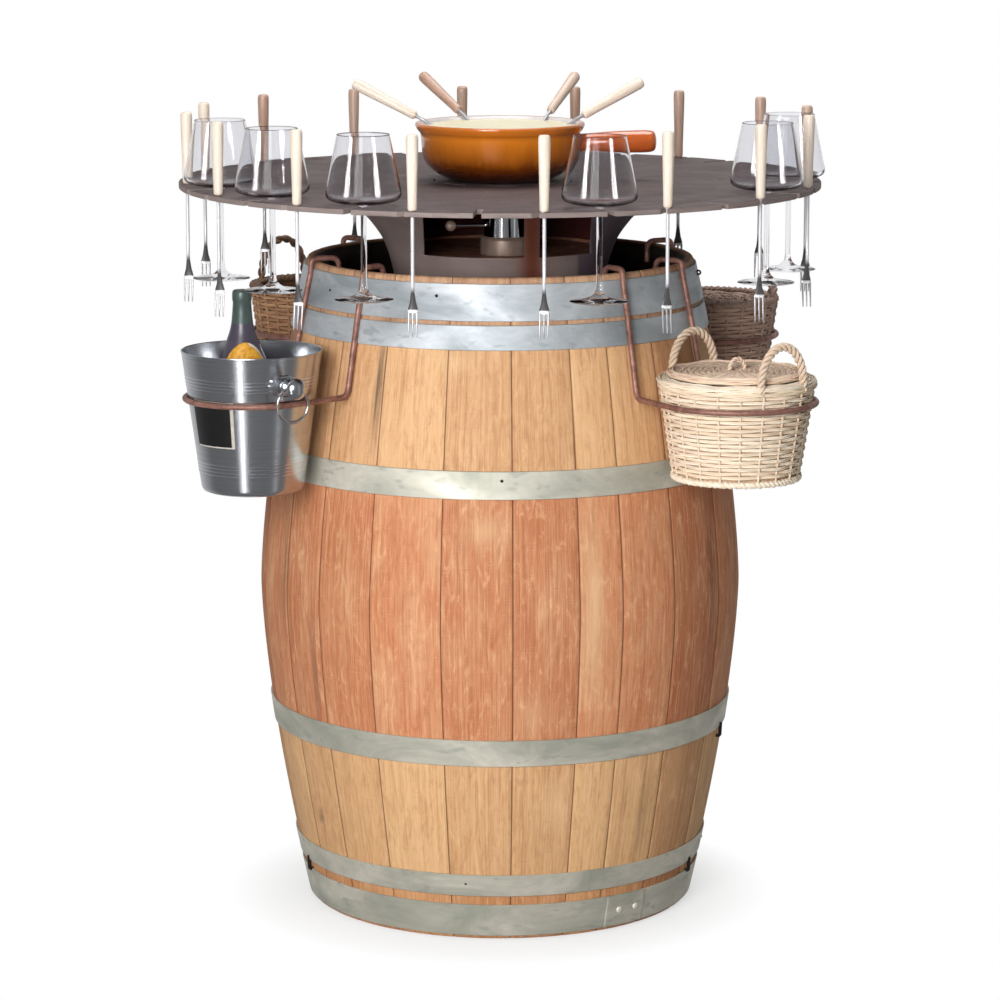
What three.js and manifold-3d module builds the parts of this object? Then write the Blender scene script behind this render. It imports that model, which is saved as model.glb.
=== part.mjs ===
// Barrel bar with a fondue table: an open oak barrel, a steel table plate on a flared stand with
// slots for forks and glasses, a pan over a burner, and rod hangers for a bucket and baskets.
// Millimetres, +Z up, origin on the barrel's axis at the floor, front towards -Y.
// Azimuths are in degrees: 0 is the front, and 90 is +X.

import * as THREE from 'three';
import { mergeVertices } from 'three/addons/utils/BufferGeometryUtils.js';
import Module from 'manifold-3d';

const wasm = await Module();
wasm.setup();

// Clearances that the pieces share
const gap = 0.3;
const overrun = 20;

// Barrel
const barrelHeight = 943;
const bellyRadius = 350;
const endRadius = 278.8;
const staveThickness = 25;
const seamDepth = 1.2;
const rimFaceWidth = 10;
const rimBevelDrop = 16;
const bulgePower = 1.52;
const stavesPerSet = 3;
const firstSeamAzimuth = -31.4;
const seamEdgeShare = 0.06;
const staveWidthShares = [
  17.7, 16.6, 15.6, 10.9, 15.4, 18.8, 14, 16, 13, 15.5, 12.5, 17,
  14, 16, 13.5, 15, 14.5, 16.5, 13, 15, 14, 16, 13.5, 15.5,
];
const staveSetNames = [
  'staves_front', 'staves_front_right', 'staves_right', 'staves_rear_right',
  'staves_rear', 'staves_rear_left', 'staves_left', 'staves_front_left',
];
const outerRowShares = [0, 0.0635, 0.19, 0.355, 0.5, 0.645, 0.81, 0.928, 1];
const innerRowShares = [1, 0.75, 0.5, 0.25, 0];
const headThickness = 20;
const headRecess = 28;

// Hoops
const hoopThickness = 2.4;
const chimeHoopWidth = 50.3;
const chimeHoopReveal = 8;
const upperHoopGap = 5.6;
const upperHoopWidth = 33.7;
const bilgeHoopWidth = 38.5;
const footHoopWidth = 48.2;
const footHoopReveal = 5.4;
const lowerHoopGap = 13.4;
const lowerHoopWidth = 32.5;
const upperBilgeHoopShare = 0.7027;
const lowerBilgeHoopShare = 0.3009;
const hoopSides = 48;

// Pedestal inside the barrel, which carries the table
const shelfDepth = 58;
const shelfRadius = 240;
const shelfThickness = 16;
const postRadius = 45;
const pedestalFootRadius = 140;
const pedestalFootThickness = 14;

// Table plate
const plateRadius = 461.8;
const plateThickness = 7;
const plateLift = 101.7;
const placeCount = 16;
const firstForkAzimuth = 7.5;
const forkSeatInset = 11.8;
const forkSlotWidth = 6.6;
const forkSlotSlant = 50;
const glassSeatInset = 46.8;
const glassSlotWidth = 11;
const flameHoleRadius = 55;
const slitRadius = 94;
const slitWidth = 3.6;
const slitCount = 8;
const slitShare = 0.62;

// Stand under the plate, burner tray and burner
const standTopRadius = 245;
const standWaistRadius = 155;
const standFootRadius = 150;
const standWall = 3;
const standFlangeWidth = 34;
const waistDepth = 120;
const windowHead = 12;
const windowSill = 71;
const windowSpans = [[-108, 34], [56, 129]];
const windowBack = 60;
const trayDrop = 97;
const trayThickness = 3;
const trayLip = 7;
const burnerRadius = 31;
const burnerBaseRadius = 36;
const burnerBaseHeight = 26;
const burnerHeight = 84;
const burnerX = 8;
const burnerY = -58;
const burnerArmLength = 80;
const burnerArmHeight = 42;
const burnerArmRadius = 3;
const burnerKnobRadius = 7;
const burnerArmAzimuth = -78;

// Pan and its contents
const panBaseRadius = 72;
const panBodyRadius = 113;
const panRimRadius = 123;
const panHeight = 83;
const panWall = 6.5;
const panFloor = 7;
const panRimHeight = 13;
const panHandleReach = 225;
const panHandleRadius = 15;
const panHandleHeight = 50;
const handleRootShare = 0.8;
const fondueDepth = 72;

// Forks
const handleLength = 102;
const handleTopRadius = 8.3;
const handleBottomRadius = 6.5;
const handleEndShare = 0.8;
const forkLength = 271;
const forkRodRadius = 2.5;
const forkHeadLength = 60;
const forkHeadWidth = 14;
const forkHeadThickness = 2.4;
const panForkLength = 200;
const panForkSlope = 27;
const panForkOutset = 10;
const panForkPocket = 1;

// Glasses
const glassRimRadius = 35;
const glassBowlRadius = 50.5;
const glassLowShare = 0.6;
const glassFootRadius = 40;
const glassStemRadius = 4;
const glassCollarRadius = 5;
const glassBowlHeight = 97;
const glassWidestHeight = 16;
const glassDrop = 126.7;
const glassWall = 1.4;
const glassBowlFloor = 7;
const glassFootThickness = 1.8;
const glassFootRise = 13;

// Hangers
const hangerRodRadius = 4;
const hangerLegSpread = 13.5;
const hangerHookDepth = 24;
const hangerHookRise = 2.6;
const hangerBend = 12;
const frontRingDrop = 171;
const rearRingDrop = 153;

// Bucket, its two rings and the bottle in it
const bucketHeight = 197.5;
const bucketRimRadius = 98;
const bucketBaseRadius = 71;
const bucketWall = 1.6;
const bucketCorner = 6.4;
const bucketBeadHeight = 4;
const bucketBeadWidth = 1.6;
const bucketAboveRing = 67.5;
const bucketStandoff = 10.6;
const bucketAzimuth = -54.9;
const knobAzimuth = 31;
const knobRise = 28;
const knobBaseRadius = 15;
const knobBaseThickness = 4;
const knobNeckRadius = 5;
const knobEyeRadius = 8;
const knobEyeReach = 28;
const knobBallRadius = 10;
const knobBallReach = 39;
const bucketRingRadius = 23.6;
const bucketRingRodRadius = 2.2;
const bottleRadius = 38;
const bottleHeight = 276;
const bottleNeckRadius = 13.5;
const bottleNeckShare = 0.84;
const bottleLipRadius = 14.8;
const bottleOffset = 29.5;
const bottleAzimuth = -151;

// Baskets
const basketWall = 7;
const basketBorder = 20;
const basketBorderHeight = 12;
const basketBaseRadius = 89;
const basketRimRadius = 111;
const basketStandoff = 1.2;
const basketHandleRodRadius = 6;
const lidRadius = 95;
const lidThickness = 9;
const lidLoopWidth = 26;
const lidLoopRise = 18;
const lidLoopRodRadius = 3.2;
const frontBasketHeight = 145;
const frontBasketAboveRing = 35;
const frontHandleWidth = 85;
const frontHandleRise = 58;
const rearRightBasketHeight = 160;
const rearRightBasketAboveRing = 60;
const rearRightHandleWidth = 70;
const rearRightHandleRise = 22;
const rearLeftBasketHeight = 170;
const rearLeftBasketAboveRing = 76;
const rearLeftHandleWidth = 95;
const rearLeftHandleRise = 62;

// Levels and radii that follow from the sizes above
const plateBottom = barrelHeight + plateLift;
const plateTop = plateBottom + plateThickness;
const headTop = headRecess + headThickness;
const shelfTop = barrelHeight - shelfDepth;
const forkSeatRadius = plateRadius - forkSeatInset;
const glassSeatRadius = plateRadius - glassSeatInset;
const placeStep = 360 / placeCount;
const degree = Math.PI / 180;
const rowHeights = outerRowShares.map((share) => share * barrelHeight);

const object = new THREE.Group();

// Finishes
function finish(color, roughness, metalness = 0, extra = {}) {
  return new THREE.MeshStandardMaterial({ color, roughness, metalness, ...extra });
}
const oak = finish(0xc08a5c, 0.75);
const galvanised = finish(0x9aa3a0, 0.45, 0.8);
const blackBoard = finish(0x17120f, 0.8);
const plateSteel = finish(0x55464a, 0.6, 0.6);
const chrome = finish(0xd5d6d8, 0.12, 1);
const glaze = finish(0xb5651c, 0.2);
const fondue = finish(0xf2e7b8, 0.35);
const forkWood = finish(0xe3c9a4, 0.6);
const clearGlass = finish(0xf2f6f6, 0.03, 0, { transparent: true, opacity: 0.3 });
const rustyRod = finish(0x7a4a35, 0.6, 0.7);
const bucketSteel = finish(0xb4b6ba, 0.3, 1);
const bottleGlass = finish(0x20282a, 0.15);
const paleWillow = finish(0xe6c79a, 0.8);
const darkWillow = finish(0x9a7552, 0.85);

// Welds a geometry's vertices, drops faces without area and turns the faces outwards.
function welded(geometry) {
  const plain = geometry.index ? geometry.toNonIndexed() : geometry.clone();
  plain.deleteAttribute('normal');
  plain.deleteAttribute('uv');
  const merged = mergeVertices(plain);
  const index = merged.getIndex().array;
  const place = merged.getAttribute('position');
  const kept = [];
  let volume = 0;
  const [a, b, c] = [new THREE.Vector3(), new THREE.Vector3(), new THREE.Vector3()];
  for (let i = 0; i < index.length; i += 3) {
    const [p, q, r] = [index[i], index[i + 1], index[i + 2]];
    if (p === q || q === r || r === p) continue;
    kept.push(p, q, r);
    a.fromBufferAttribute(place, p);
    b.fromBufferAttribute(place, q);
    c.fromBufferAttribute(place, r);
    volume += a.dot(b.cross(c));
  }
  if (volume < 0) {
    for (let i = 0; i < kept.length; i += 3) [kept[i], kept[i + 1]] = [kept[i + 1], kept[i]];
  }
  const result = new THREE.BufferGeometry();
  result.setAttribute('position', place.clone());
  result.setIndex(kept);
  return result;
}

function toSolid(geometry) {
  const weld = welded(geometry);
  const mesh = new wasm.Mesh({
    numProp: 3,
    vertProperties: new Float32Array(weld.getAttribute('position').array),
    triVerts: new Uint32Array(weld.getIndex().array),
  });
  return new wasm.Manifold(mesh);
}

function fromSolid(solid) {
  const mesh = solid.getMesh();
  const result = new THREE.BufferGeometry();
  result.setAttribute('position', new THREE.BufferAttribute(new Float32Array(mesh.vertProperties), 3));
  result.setIndex(Array.from(mesh.triVerts));
  return result;
}

function joined(first, ...others) {
  return fromSolid(others.reduce((solid, other) => solid.add(toSolid(other)), toSolid(first)));
}

function cut(body, ...tools) {
  return fromSolid(tools.reduce((solid, tool) => solid.subtract(toSolid(tool)), toSolid(body)));
}

function addPiece(name, geometry, material) {
  const mesh = new THREE.Mesh(welded(geometry), material.clone());
  mesh.name = name;
  object.add(mesh);
  return mesh;
}

// A point at a radius and azimuth around a vertical axis
function around(radius, azimuth, z, centre = new THREE.Vector3()) {
  const turn = azimuth * degree;
  return new THREE.Vector3(
    centre.x + radius * Math.sin(turn), centre.y - radius * Math.cos(turn), centre.z + z);
}

// A profile of [radius, height] points turned about Z
function turned(profile, sides) {
  const points = profile.map(([radius, z]) => new THREE.Vector2(radius, z));
  return new THREE.LatheGeometry(points, sides).rotateX(Math.PI / 2);
}

// A curve through points, one section at each point
class Polyline extends THREE.Curve {
  constructor(points) {
    super();
    this.points = points;
  }

  getPoint(t, target = new THREE.Vector3()) {
    const place = t * (this.points.length - 1);
    const index = Math.min(Math.floor(place), this.points.length - 2);
    return target.lerpVectors(this.points[index], this.points[index + 1], place - index);
  }

  getPointAt(u, target) {
    return this.getPoint(u, target);
  }

  getTangentAt(u, target = new THREE.Vector3()) {
    const last = this.points.length - 1;
    const index = Math.round(u * last);
    const here = this.points[index];
    const before = this.points[Math.max(index - 1, 0)];
    const after = this.points[Math.min(index + 1, last)];
    const arriving = new THREE.Vector3().subVectors(here, before).normalize();
    const leaving = new THREE.Vector3().subVectors(after, here).normalize();
    return target.addVectors(arriving, leaving).normalize();
  }
}

function roundShape(radius, sides) {
  const points = Array.from({ length: sides }, (_, i) => {
    const turn = (2 * Math.PI * i) / sides;
    return new THREE.Vector2(radius * Math.cos(turn), radius * Math.sin(turn));
  });
  return new THREE.Shape(points);
}

function tube(points, radius, sides) {
  return new THREE.ExtrudeGeometry(roundShape(radius, sides), {
    steps: points.length - 1,
    extrudePath: new Polyline(points),
    bevelEnabled: false,
  });
}

// Replaces each sharp corner of a path by a short curve that starts and ends `reach` from it.
function softened(points, reach, steps) {
  const gentle = 0.9;
  const path = [points[0]];
  for (let i = 1; i < points.length - 1; i += 1) {
    const corner = points[i];
    const arriving = corner.clone().sub(points[i - 1]).normalize();
    const leaving = points[i + 1].clone().sub(corner).normalize();
    if (arriving.dot(leaving) > gentle) {
      path.push(corner);
      continue;
    }
    const inwards = Math.min(reach, corner.distanceTo(points[i - 1]) / 2);
    const outwards = Math.min(reach, corner.distanceTo(points[i + 1]) / 2);
    const start = corner.clone().lerp(points[i - 1], inwards / corner.distanceTo(points[i - 1]));
    const end = corner.clone().lerp(points[i + 1], outwards / corner.distanceTo(points[i + 1]));
    const bend = new THREE.QuadraticBezierCurve3(start, corner, end);
    path.push(...bend.getPoints(steps));
  }
  path.push(points[points.length - 1]);
  return path;
}

// The outer radius of the barrel at a height: the bulge, sampled at the rows of the staves
function bulge(z) {
  const share = Math.abs((2 * z) / barrelHeight - 1);
  return bellyRadius - (bellyRadius - endRadius) * share ** bulgePower;
}

function staveRadius(z) {
  const row = Math.max(1, rowHeights.findIndex((height) => height >= z));
  const [low, high] = [rowHeights[row - 1], rowHeights[row]];
  return THREE.MathUtils.lerp(bulge(low), bulge(high), (z - low) / (high - low));
}

// Carries a closed [radius, height] profile around Z. `profileAt` gives it for each column.
function sweptRound(profileAt, azimuths, whole) {
  const sections = azimuths.map((azimuth, column) => profileAt(column)
    .map(([radius, z]) => around(radius, azimuth, z)));
  const count = sections[0].length;
  const triangles = [];
  const columns = whole ? azimuths.length : azimuths.length - 1;
  for (let column = 0; column < columns; column += 1) {
    const next = (column + 1) % azimuths.length;
    for (let k = 0; k < count; k += 1) {
      const l = (k + 1) % count;
      const [a, b] = [sections[column][k], sections[next][k]];
      const [c, d] = [sections[next][l], sections[column][l]];
      triangles.push(a, b, c, a, c, d);
    }
  }
  if (!whole) {
    for (const end of [0, azimuths.length - 1]) {
      const outline = profileAt(end).map(([radius, z]) => new THREE.Vector2(radius, z));
      for (const [p, q, r] of THREE.ShapeUtils.triangulateShape(outline, [])) {
        const face = [sections[end][p], sections[end][q], sections[end][r]];
        triangles.push(...(end === 0 ? face : face.reverse()));
      }
    }
  }
  return new THREE.BufferGeometry().setFromPoints(triangles);
}

// Eight sets of staves. Each stave is crowned between two shallow grooves at its seams, and its
// upper end is bevelled on the inside.
function staveProfile(depth) {
  const outer = outerRowShares.map((share) => [bulge(share * barrelHeight) - depth, share * barrelHeight]);
  const inner = innerRowShares.map((share) => {
    const z = Math.min(share * barrelHeight, barrelHeight - rimBevelDrop);
    return [staveRadius(z) - staveThickness, z];
  });
  return [...outer, [endRadius - rimFaceWidth, barrelHeight], ...inner];
}

function addStaves() {
  const widthSum = staveWidthShares.reduce((sum, share) => sum + share, 0);
  const seamGap = (gap / 2 / endRadius) / degree;
  let azimuth = firstSeamAzimuth;
  staveSetNames.forEach((name, set) => {
    const columns = [];
    for (let i = 0; i < stavesPerSet; i += 1) {
      const width = (360 * staveWidthShares[set * stavesPerSet + i]) / widthSum;
      const start = i === 0 ? azimuth + seamGap : azimuth;
      columns.push([start, seamDepth], [azimuth + seamEdgeShare * width, 0]);
      columns.push([azimuth + width / 2, 0], [azimuth + (1 - seamEdgeShare) * width, 0]);
      azimuth += width;
    }
    columns.push([azimuth - seamGap, seamDepth]);
    const geometry = sweptRound((column) => staveProfile(columns[column][1]),
      columns.map(([place]) => place), false);
    addPiece(name, geometry, oak);
  });
}

// A hoop follows the staves' outline between its two edges.
function hoopRadius(z) {
  return (staveRadius(z) + gap) / Math.cos(Math.PI / hoopSides);
}

function addHoop(name, low, width) {
  const high = low + width;
  const levels = [low, ...rowHeights.filter((z) => z > low && z < high), high];
  const inner = levels.map((z) => [hoopRadius(z), z]);
  const outer = levels.map((z) => [hoopRadius(z) + hoopThickness, z]);
  const profile = [...outer, ...inner.reverse()];
  const azimuths = Array.from({ length: hoopSides }, (_, i) => (360 * i) / hoopSides);
  addPiece(name, sweptRound(() => profile, azimuths, true), galvanised);
}

const chimeHoopLow = barrelHeight - chimeHoopReveal - chimeHoopWidth;
const upperHoopLow = chimeHoopLow - upperHoopGap - upperHoopWidth;
const lowerHoopLow = footHoopReveal + footHoopWidth + lowerHoopGap;

function addHoops() {
  addHoop('hoop_chime', chimeHoopLow, chimeHoopWidth);
  addHoop('hoop_upper', upperHoopLow, upperHoopWidth);
  addHoop('hoop_upper_bilge', upperBilgeHoopShare * barrelHeight - bilgeHoopWidth / 2, bilgeHoopWidth);
  addHoop('hoop_lower_bilge', lowerBilgeHoopShare * barrelHeight - bilgeHoopWidth / 2, bilgeHoopWidth);
  addHoop('hoop_lower', lowerHoopLow, lowerHoopWidth);
  addHoop('hoop_foot', footHoopReveal, footHoopWidth);
}

// The head stands inside the staves near the floor, and the pedestal stands on it.
function addHeadAndPedestal() {
  const widthSum = staveWidthShares.reduce((sum, share) => sum + share, 0);
  const widest = (360 * Math.max(...staveWidthShares)) / widthSum;
  const firstRow = innerRowShares[innerRowShares.length - 2] * barrelHeight;
  const wall = THREE.MathUtils.lerp(endRadius, staveRadius(firstRow), headRecess / firstRow) - staveThickness;
  const inside = wall * Math.cos((widest / 4) * degree);
  const headRadius = inside - gap;
  const sides = 48;
  const head = [[0, headRecess], [headRadius, headRecess], [headRadius, headTop], [0, headTop]];
  addPiece('bottom_head', turned(head, sides), oak);
  const foot = headTop + gap;
  const pedestal = [
    [0, foot], [pedestalFootRadius, foot], [pedestalFootRadius, foot + pedestalFootThickness],
    [postRadius, foot + pedestalFootThickness], [postRadius, shelfTop - shelfThickness],
    [shelfRadius, shelfTop - shelfThickness], [shelfRadius, shelfTop], [0, shelfTop],
  ];
  addPiece('table_pedestal', turned(pedestal, sides / 2), blackBoard);
}

// A slot outline that starts with a round seat at the origin and leaves towards -Y
function slotShape(width, length) {
  const steps = 4;
  const seat = Array.from({ length: steps + 1 }, (_, i) => {
    const turn = (Math.PI * i) / steps;
    return new THREE.Vector2((width / 2) * Math.cos(turn), (width / 2) * Math.sin(turn));
  });
  const mouth = [new THREE.Vector2(-width / 2, -length), new THREE.Vector2(width / 2, -length)];
  return new THREE.Shape([...seat, ...mouth]);
}

function extruded(shape, depth) {
  return new THREE.ExtrudeGeometry(shape, { depth, bevelEnabled: false });
}

// Round plate with a slot at each fork and glass place, a hole over the flame and vent slits
function addPlate() {
  const sides = 96;
  const disc = extruded(roundShape(plateRadius, sides), plateThickness).translate(0, 0, plateBottom);
  const tools = [];
  const cutHeight = plateThickness + 2 * overrun;
  for (let k = 0; k < placeCount; k += 1) {
    const forkAzimuth = firstForkAzimuth + k * placeStep;
    const forkPlace = around(forkSeatRadius, forkAzimuth, plateBottom - overrun);
    tools.push(extruded(slotShape(forkSlotWidth, 2 * overrun + forkSeatInset), cutHeight)
      .rotateZ((forkAzimuth - forkSlotSlant) * degree)
      .translate(forkPlace.x, forkPlace.y, forkPlace.z));
    const glassAzimuth = forkAzimuth - placeStep / 2;
    const glassPlace = around(glassSeatRadius, glassAzimuth, plateBottom - overrun);
    tools.push(extruded(slotShape(glassSlotWidth, glassSeatInset + overrun), cutHeight)
      .rotateZ(glassAzimuth * degree)
      .translate(glassPlace.x, glassPlace.y, glassPlace.z));
  }
  const holeSides = 24;
  tools.push(extruded(roundShape(flameHoleRadius, holeSides), cutHeight)
    .translate(0, 0, plateBottom - overrun));
  const slitSteps = 3;
  for (let k = 0; k < slitCount; k += 1) {
    const span = (360 / slitCount) * slitShare;
    const azimuths = Array.from({ length: slitSteps + 1 },
      (_, i) => (k * 360) / slitCount + (i / slitSteps - 0.5) * span);
    const [inner, outer] = [slitRadius - slitWidth / 2, slitRadius + slitWidth / 2];
    const [low, high] = [plateBottom - overrun, plateTop + overrun];
    tools.push(sweptRound(() => [[inner, low], [outer, low], [outer, high], [inner, high]], azimuths, false));
  }
  return addPiece('table_plate', cut(disc, ...tools), plateSteel);
}

// The stand's outer radius below the plate: flared at the top and nearly straight below the waist
const standTop = plateBottom - gap;
const standFoot = shelfTop + gap;
const waist = standTop - waistDepth;
const flareShares = [[1, 1], [0.81, 0.88], [0.57, 0.73], [0.37, 0.59], [0.145, 0.34], [0, 0]];

function standOutline() {
  const flare = flareShares.map(([radiusShare, heightShare]) => [
    standWaistRadius + radiusShare * (standTopRadius - standWaistRadius),
    waist + heightShare * waistDepth,
  ]);
  return [...flare, [standFootRadius, standFoot]];
}

function standRadius(z) {
  const outline = standOutline();
  const row = Math.max(1, outline.findIndex(([, height]) => height <= z));
  const [[upperRadius, high], [lowerRadius, low]] = [outline[row - 1], outline[row]];
  return THREE.MathUtils.lerp(lowerRadius, upperRadius, (z - low) / (high - low));
}

// The stand with its two windows, which are cut straight back from the front.
function addStand() {
  const sides = 30;
  const outline = standOutline();
  const inside = outline.slice(1).map(([radius, z]) => [radius - standWall, z]).reverse();
  const flangeBottom = standTop - standWall;
  const profile = [
    ...outline, ...inside, [standRadius(flangeBottom) - standWall, flangeBottom],
    [standTopRadius - standFlangeWidth, flangeBottom], [standTopRadius - standFlangeWidth, standTop], outline[0],
  ];
  const [near, far] = [-windowBack, -standTopRadius - overrun];
  const [low, high] = [standFoot + windowSill, standTop - windowHead];
  const windows = windowSpans.map(([left, right]) => new THREE.BoxGeometry(right - left, near - far, high - low)
    .translate((left + right) / 2, (near + far) / 2, (low + high) / 2));
  addPiece('stand', cut(turned(profile, sides), ...windows), plateSteel);
}

// A dish that rests in the narrowing stand, with the burner on it
const trayBottom = plateBottom - trayDrop;
const trayTop = trayBottom + trayThickness;

function addTrayAndBurner() {
  const sides = 36;
  const snug = Math.cos(Math.PI / sides);
  const inside = (z) => (standRadius(z) - standWall) * snug - gap;
  const tray = [
    [0, trayBottom], [inside(trayBottom), trayBottom], [inside(trayBottom), trayBottom + trayLip],
    [inside(trayBottom) - trayThickness, trayBottom + trayLip], [inside(trayBottom) - trayThickness, trayTop],
    [0, trayTop],
  ];
  addPiece('burner_tray', turned(tray, sides), plateSteel);
  const foot = trayTop + gap;
  const shoulder = foot + burnerBaseHeight;
  const top = foot + burnerHeight;
  const bowlWall = burnerArmRadius;
  const body = [
    [0, foot], [burnerBaseRadius, foot], [burnerBaseRadius, shoulder - bowlWall], [burnerRadius, shoulder],
    [burnerRadius, top], [burnerRadius - bowlWall, top], [burnerRadius - bowlWall, shoulder + bowlWall],
    [0, shoulder + bowlWall],
  ];
  const armHeight = foot + burnerArmHeight;
  const inner = around(burnerRadius - bowlWall / 2, burnerArmAzimuth, armHeight);
  const outer = around(burnerArmLength, burnerArmAzimuth, armHeight);
  const armSides = 8;
  const knob = new THREE.IcosahedronGeometry(burnerKnobRadius, 1).translate(outer.x, outer.y, outer.z);
  const bodySides = 24;
  const burner = joined(turned(body, bodySides), tube([inner, outer], burnerArmRadius, armSides), knob);
  addPiece('burner', burner.translate(burnerX, burnerY, 0), chrome);
}

// Glazed pan with a round handle towards +X, and the fondue in it
const panFoot = plateTop + gap;
const panSides = 28;
const panCurveShares = [[0, 0], [0.24, 0.1], [0.76, 0.3], [1, 0.5]];
const rimFoot = panFoot + panHeight - panRimHeight;

function panOutline(inset, lift) {
  const curve = panCurveShares.map(([radiusShare, heightShare]) => [
    panBaseRadius + radiusShare * (panBodyRadius - panBaseRadius) - inset,
    panFoot + heightShare * panHeight + lift,
  ]);
  return [[0, curve[0][1]], ...curve];
}

function addPan() {
  const rimTop = panFoot + panHeight;
  const rimEdge = panRimRadius - panBodyRadius;
  const outside = [
    ...panOutline(0, 0), [panBodyRadius, rimFoot - rimEdge / 2], [panRimRadius, rimFoot + rimEdge / 4],
    [panRimRadius, rimTop - rimEdge / 4], [panRimRadius - rimEdge / 4, rimTop],
    [panBodyRadius, rimTop], [panBodyRadius - panWall, rimTop - panRimHeight / 2],
  ];
  const inside = panOutline(panWall, panFloor).reverse();
  const body = turned([...outside, ...inside], panSides);
  const handleSides = 10;
  const reach = panHandleReach - panBodyRadius + panWall / 2;
  const tip = panHandleRadius / 2;
  const handle = turned([
    [0, 0], [handleRootShare * panHandleRadius, 0], [panHandleRadius, reach / 2],
    [panHandleRadius, reach - tip],
    [tip, reach], [0, reach],
  ], handleSides)
    .rotateY(Math.PI / 2)
    .translate(panBodyRadius - panWall / 2, 0, panFoot + panHandleHeight);
  addPiece('pan', joined(body, handle), glaze);
}

// The four forks that lie on the rim with their heads in the fondue: where each one crosses
// the rim, and where its handle points
const panForks = [
  { name: 'pan_fork_left', crossing: -95, heading: -99 },
  { name: 'pan_fork_rear_left', crossing: -151, heading: -142.9 },
  { name: 'pan_fork_rear_right', crossing: 142, heading: 154.8 },
  { name: 'pan_fork_right', crossing: 99, heading: 109.3 },
];

// Lays a fork that was drawn upright, handle up and steel down from the origin, across the rim.
// The rod rests on the rim's inner edge, and the handle starts just outside it.
function layOnRim(geometry, { crossing, heading }) {
  const slope = panForkSlope * degree;
  const rest = (gap + forkRodRadius) / Math.cos(slope);
  const start = around(panBodyRadius, crossing, panFoot + panHeight + rest);
  const along = around(Math.cos(slope), heading, Math.sin(slope));
  const origin = start.addScaledVector(along, panForkOutset);
  return geometry
    .rotateX(Math.PI / 2 - slope)
    .rotateZ(heading * degree)
    .translate(origin.x, origin.y, origin.z);
}

function addFondue() {
  const level = panFoot + fondueDepth + panFloor;
  const inset = panWall + 2 * gap;
  const lift = panFloor + gap;
  const outline = panOutline(inset, lift);
  const profile = [...outline, [panBodyRadius - inset, level], [0, level]];
  const pocketWidth = forkHeadWidth + 2 * panForkPocket;
  const pocketDepth = forkHeadThickness + 2 * forkRodRadius + panForkPocket;
  const pockets = panForks.map((place) => {
    const length = panForkLength - handleLength + panForkPocket;
    const box = new THREE.BoxGeometry(pocketWidth, pocketDepth, length).translate(0, 0, -length / 2);
    return layOnRim(box, place);
  });
  addPiece('fondue', cut(turned(profile, panSides), ...pockets), fondue);
}

// Half outline of a fork head: shares of half its width, and of its length from the flare down
const forkHeadShares = [
  [0.29, 0], [0.6, 0.22], [1, 0.38], [1, 0.7], [0.89, 1], [0.7, 1], [0.59, 0.5], [0.21, 0.5], [0.1, 1],
];

// A fork, drawn upright: the handle stands on the origin and the steel hangs below it.
function fork(length) {
  const handleSides = 8;
  const handle = turned([
    [0, gap], [handleBottomRadius, gap], [handleTopRadius, handleLength - handleTopRadius],
    [handleEndShare * handleTopRadius, handleLength], [0, handleLength],
  ], handleSides);
  const tip = handleLength - length;
  const flare = tip + forkHeadLength;
  const rodSides = 6;
  const rodInHandle = handleBottomRadius;
  const rodInHead = forkHeadWidth / 2;
  const rod = turned([
    [0, flare - rodInHead], [forkRodRadius, flare - rodInHead], [forkRodRadius, rodInHandle], [0, rodInHandle],
  ], rodSides);
  const half = forkHeadWidth / 2;
  const right = forkHeadShares.map(([x, y]) => new THREE.Vector2(x * half, flare - y * forkHeadLength));
  const left = right.map((point) => new THREE.Vector2(-point.x, point.y)).reverse();
  const head = extruded(new THREE.Shape([...right, ...left]), forkHeadThickness)
    .translate(0, 0, -forkHeadThickness / 2)
    .rotateX(Math.PI / 2);
  return joined(handle, rod, head);
}

function addForks() {
  for (let k = 0; k < placeCount; k += 1) {
    const azimuth = firstForkAzimuth + k * placeStep;
    const place = around(forkSeatRadius, azimuth, plateTop);
    const piece = fork(forkLength).rotateZ(azimuth * degree).translate(place.x, place.y, place.z);
    addPiece(`fork_${String(k + 1).padStart(2, '0')}`, piece, forkWood);
  }
  for (const place of panForks) {
    addPiece(place.name, layOnRim(fork(panForkLength), place), forkWood);
  }
}

// The glasses hang in their slots: the bowl rests on the plate and the foot hangs below.
const glassPlaces = [
  { name: 'glass_left', place: 13 },
  { name: 'glass_front_left', place: 14 },
  { name: 'glass_front_centre', place: 15 },
  { name: 'glass_front_right', place: 1 },
  { name: 'glass_right', place: 3 },
  { name: 'glass_far_right', place: 4 },
];

function addGlasses() {
  const sides = 16;
  const foot = -glassDrop;
  const lowWidth = glassLowShare * glassBowlRadius;
  const profile = [
    [0, foot], [glassFootRadius, foot], [glassFootRadius, foot + glassFootThickness],
    [glassStemRadius, foot + glassFootRise], [glassStemRadius, -plateThickness],
    [glassCollarRadius, gap], [lowWidth, glassWidestHeight / 3], [glassBowlRadius, glassWidestHeight],
    [glassRimRadius, glassBowlHeight], [glassRimRadius - glassWall, glassBowlHeight],
    [glassBowlRadius - 2 * glassWall, glassWidestHeight + glassWall],
    [lowWidth, glassWidestHeight / 3 + glassBowlFloor / 2], [0, glassBowlFloor],
  ];
  for (const { name, place } of glassPlaces) {
    const azimuth = firstForkAzimuth - placeStep / 2 + place * placeStep;
    const seat = around(glassSeatRadius, azimuth, plateTop);
    addPiece(name, turned(profile, sides).translate(seat.x, seat.y, seat.z), clearGlass);
  }
}

// A hanger: two legs hooked over the barrel's rim, and one rod round the front of what it holds.
// `radius` is the held piece's radius at the ring, `drop` the ring's depth below the barrel's rim.
function ringPlace(azimuth, drop, radius, standoff) {
  const z = barrelHeight - drop;
  const reach = staveRadius(z) + standoff + radius + gap + 2 * hangerRodRadius;
  return around(reach, azimuth, z);
}

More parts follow.
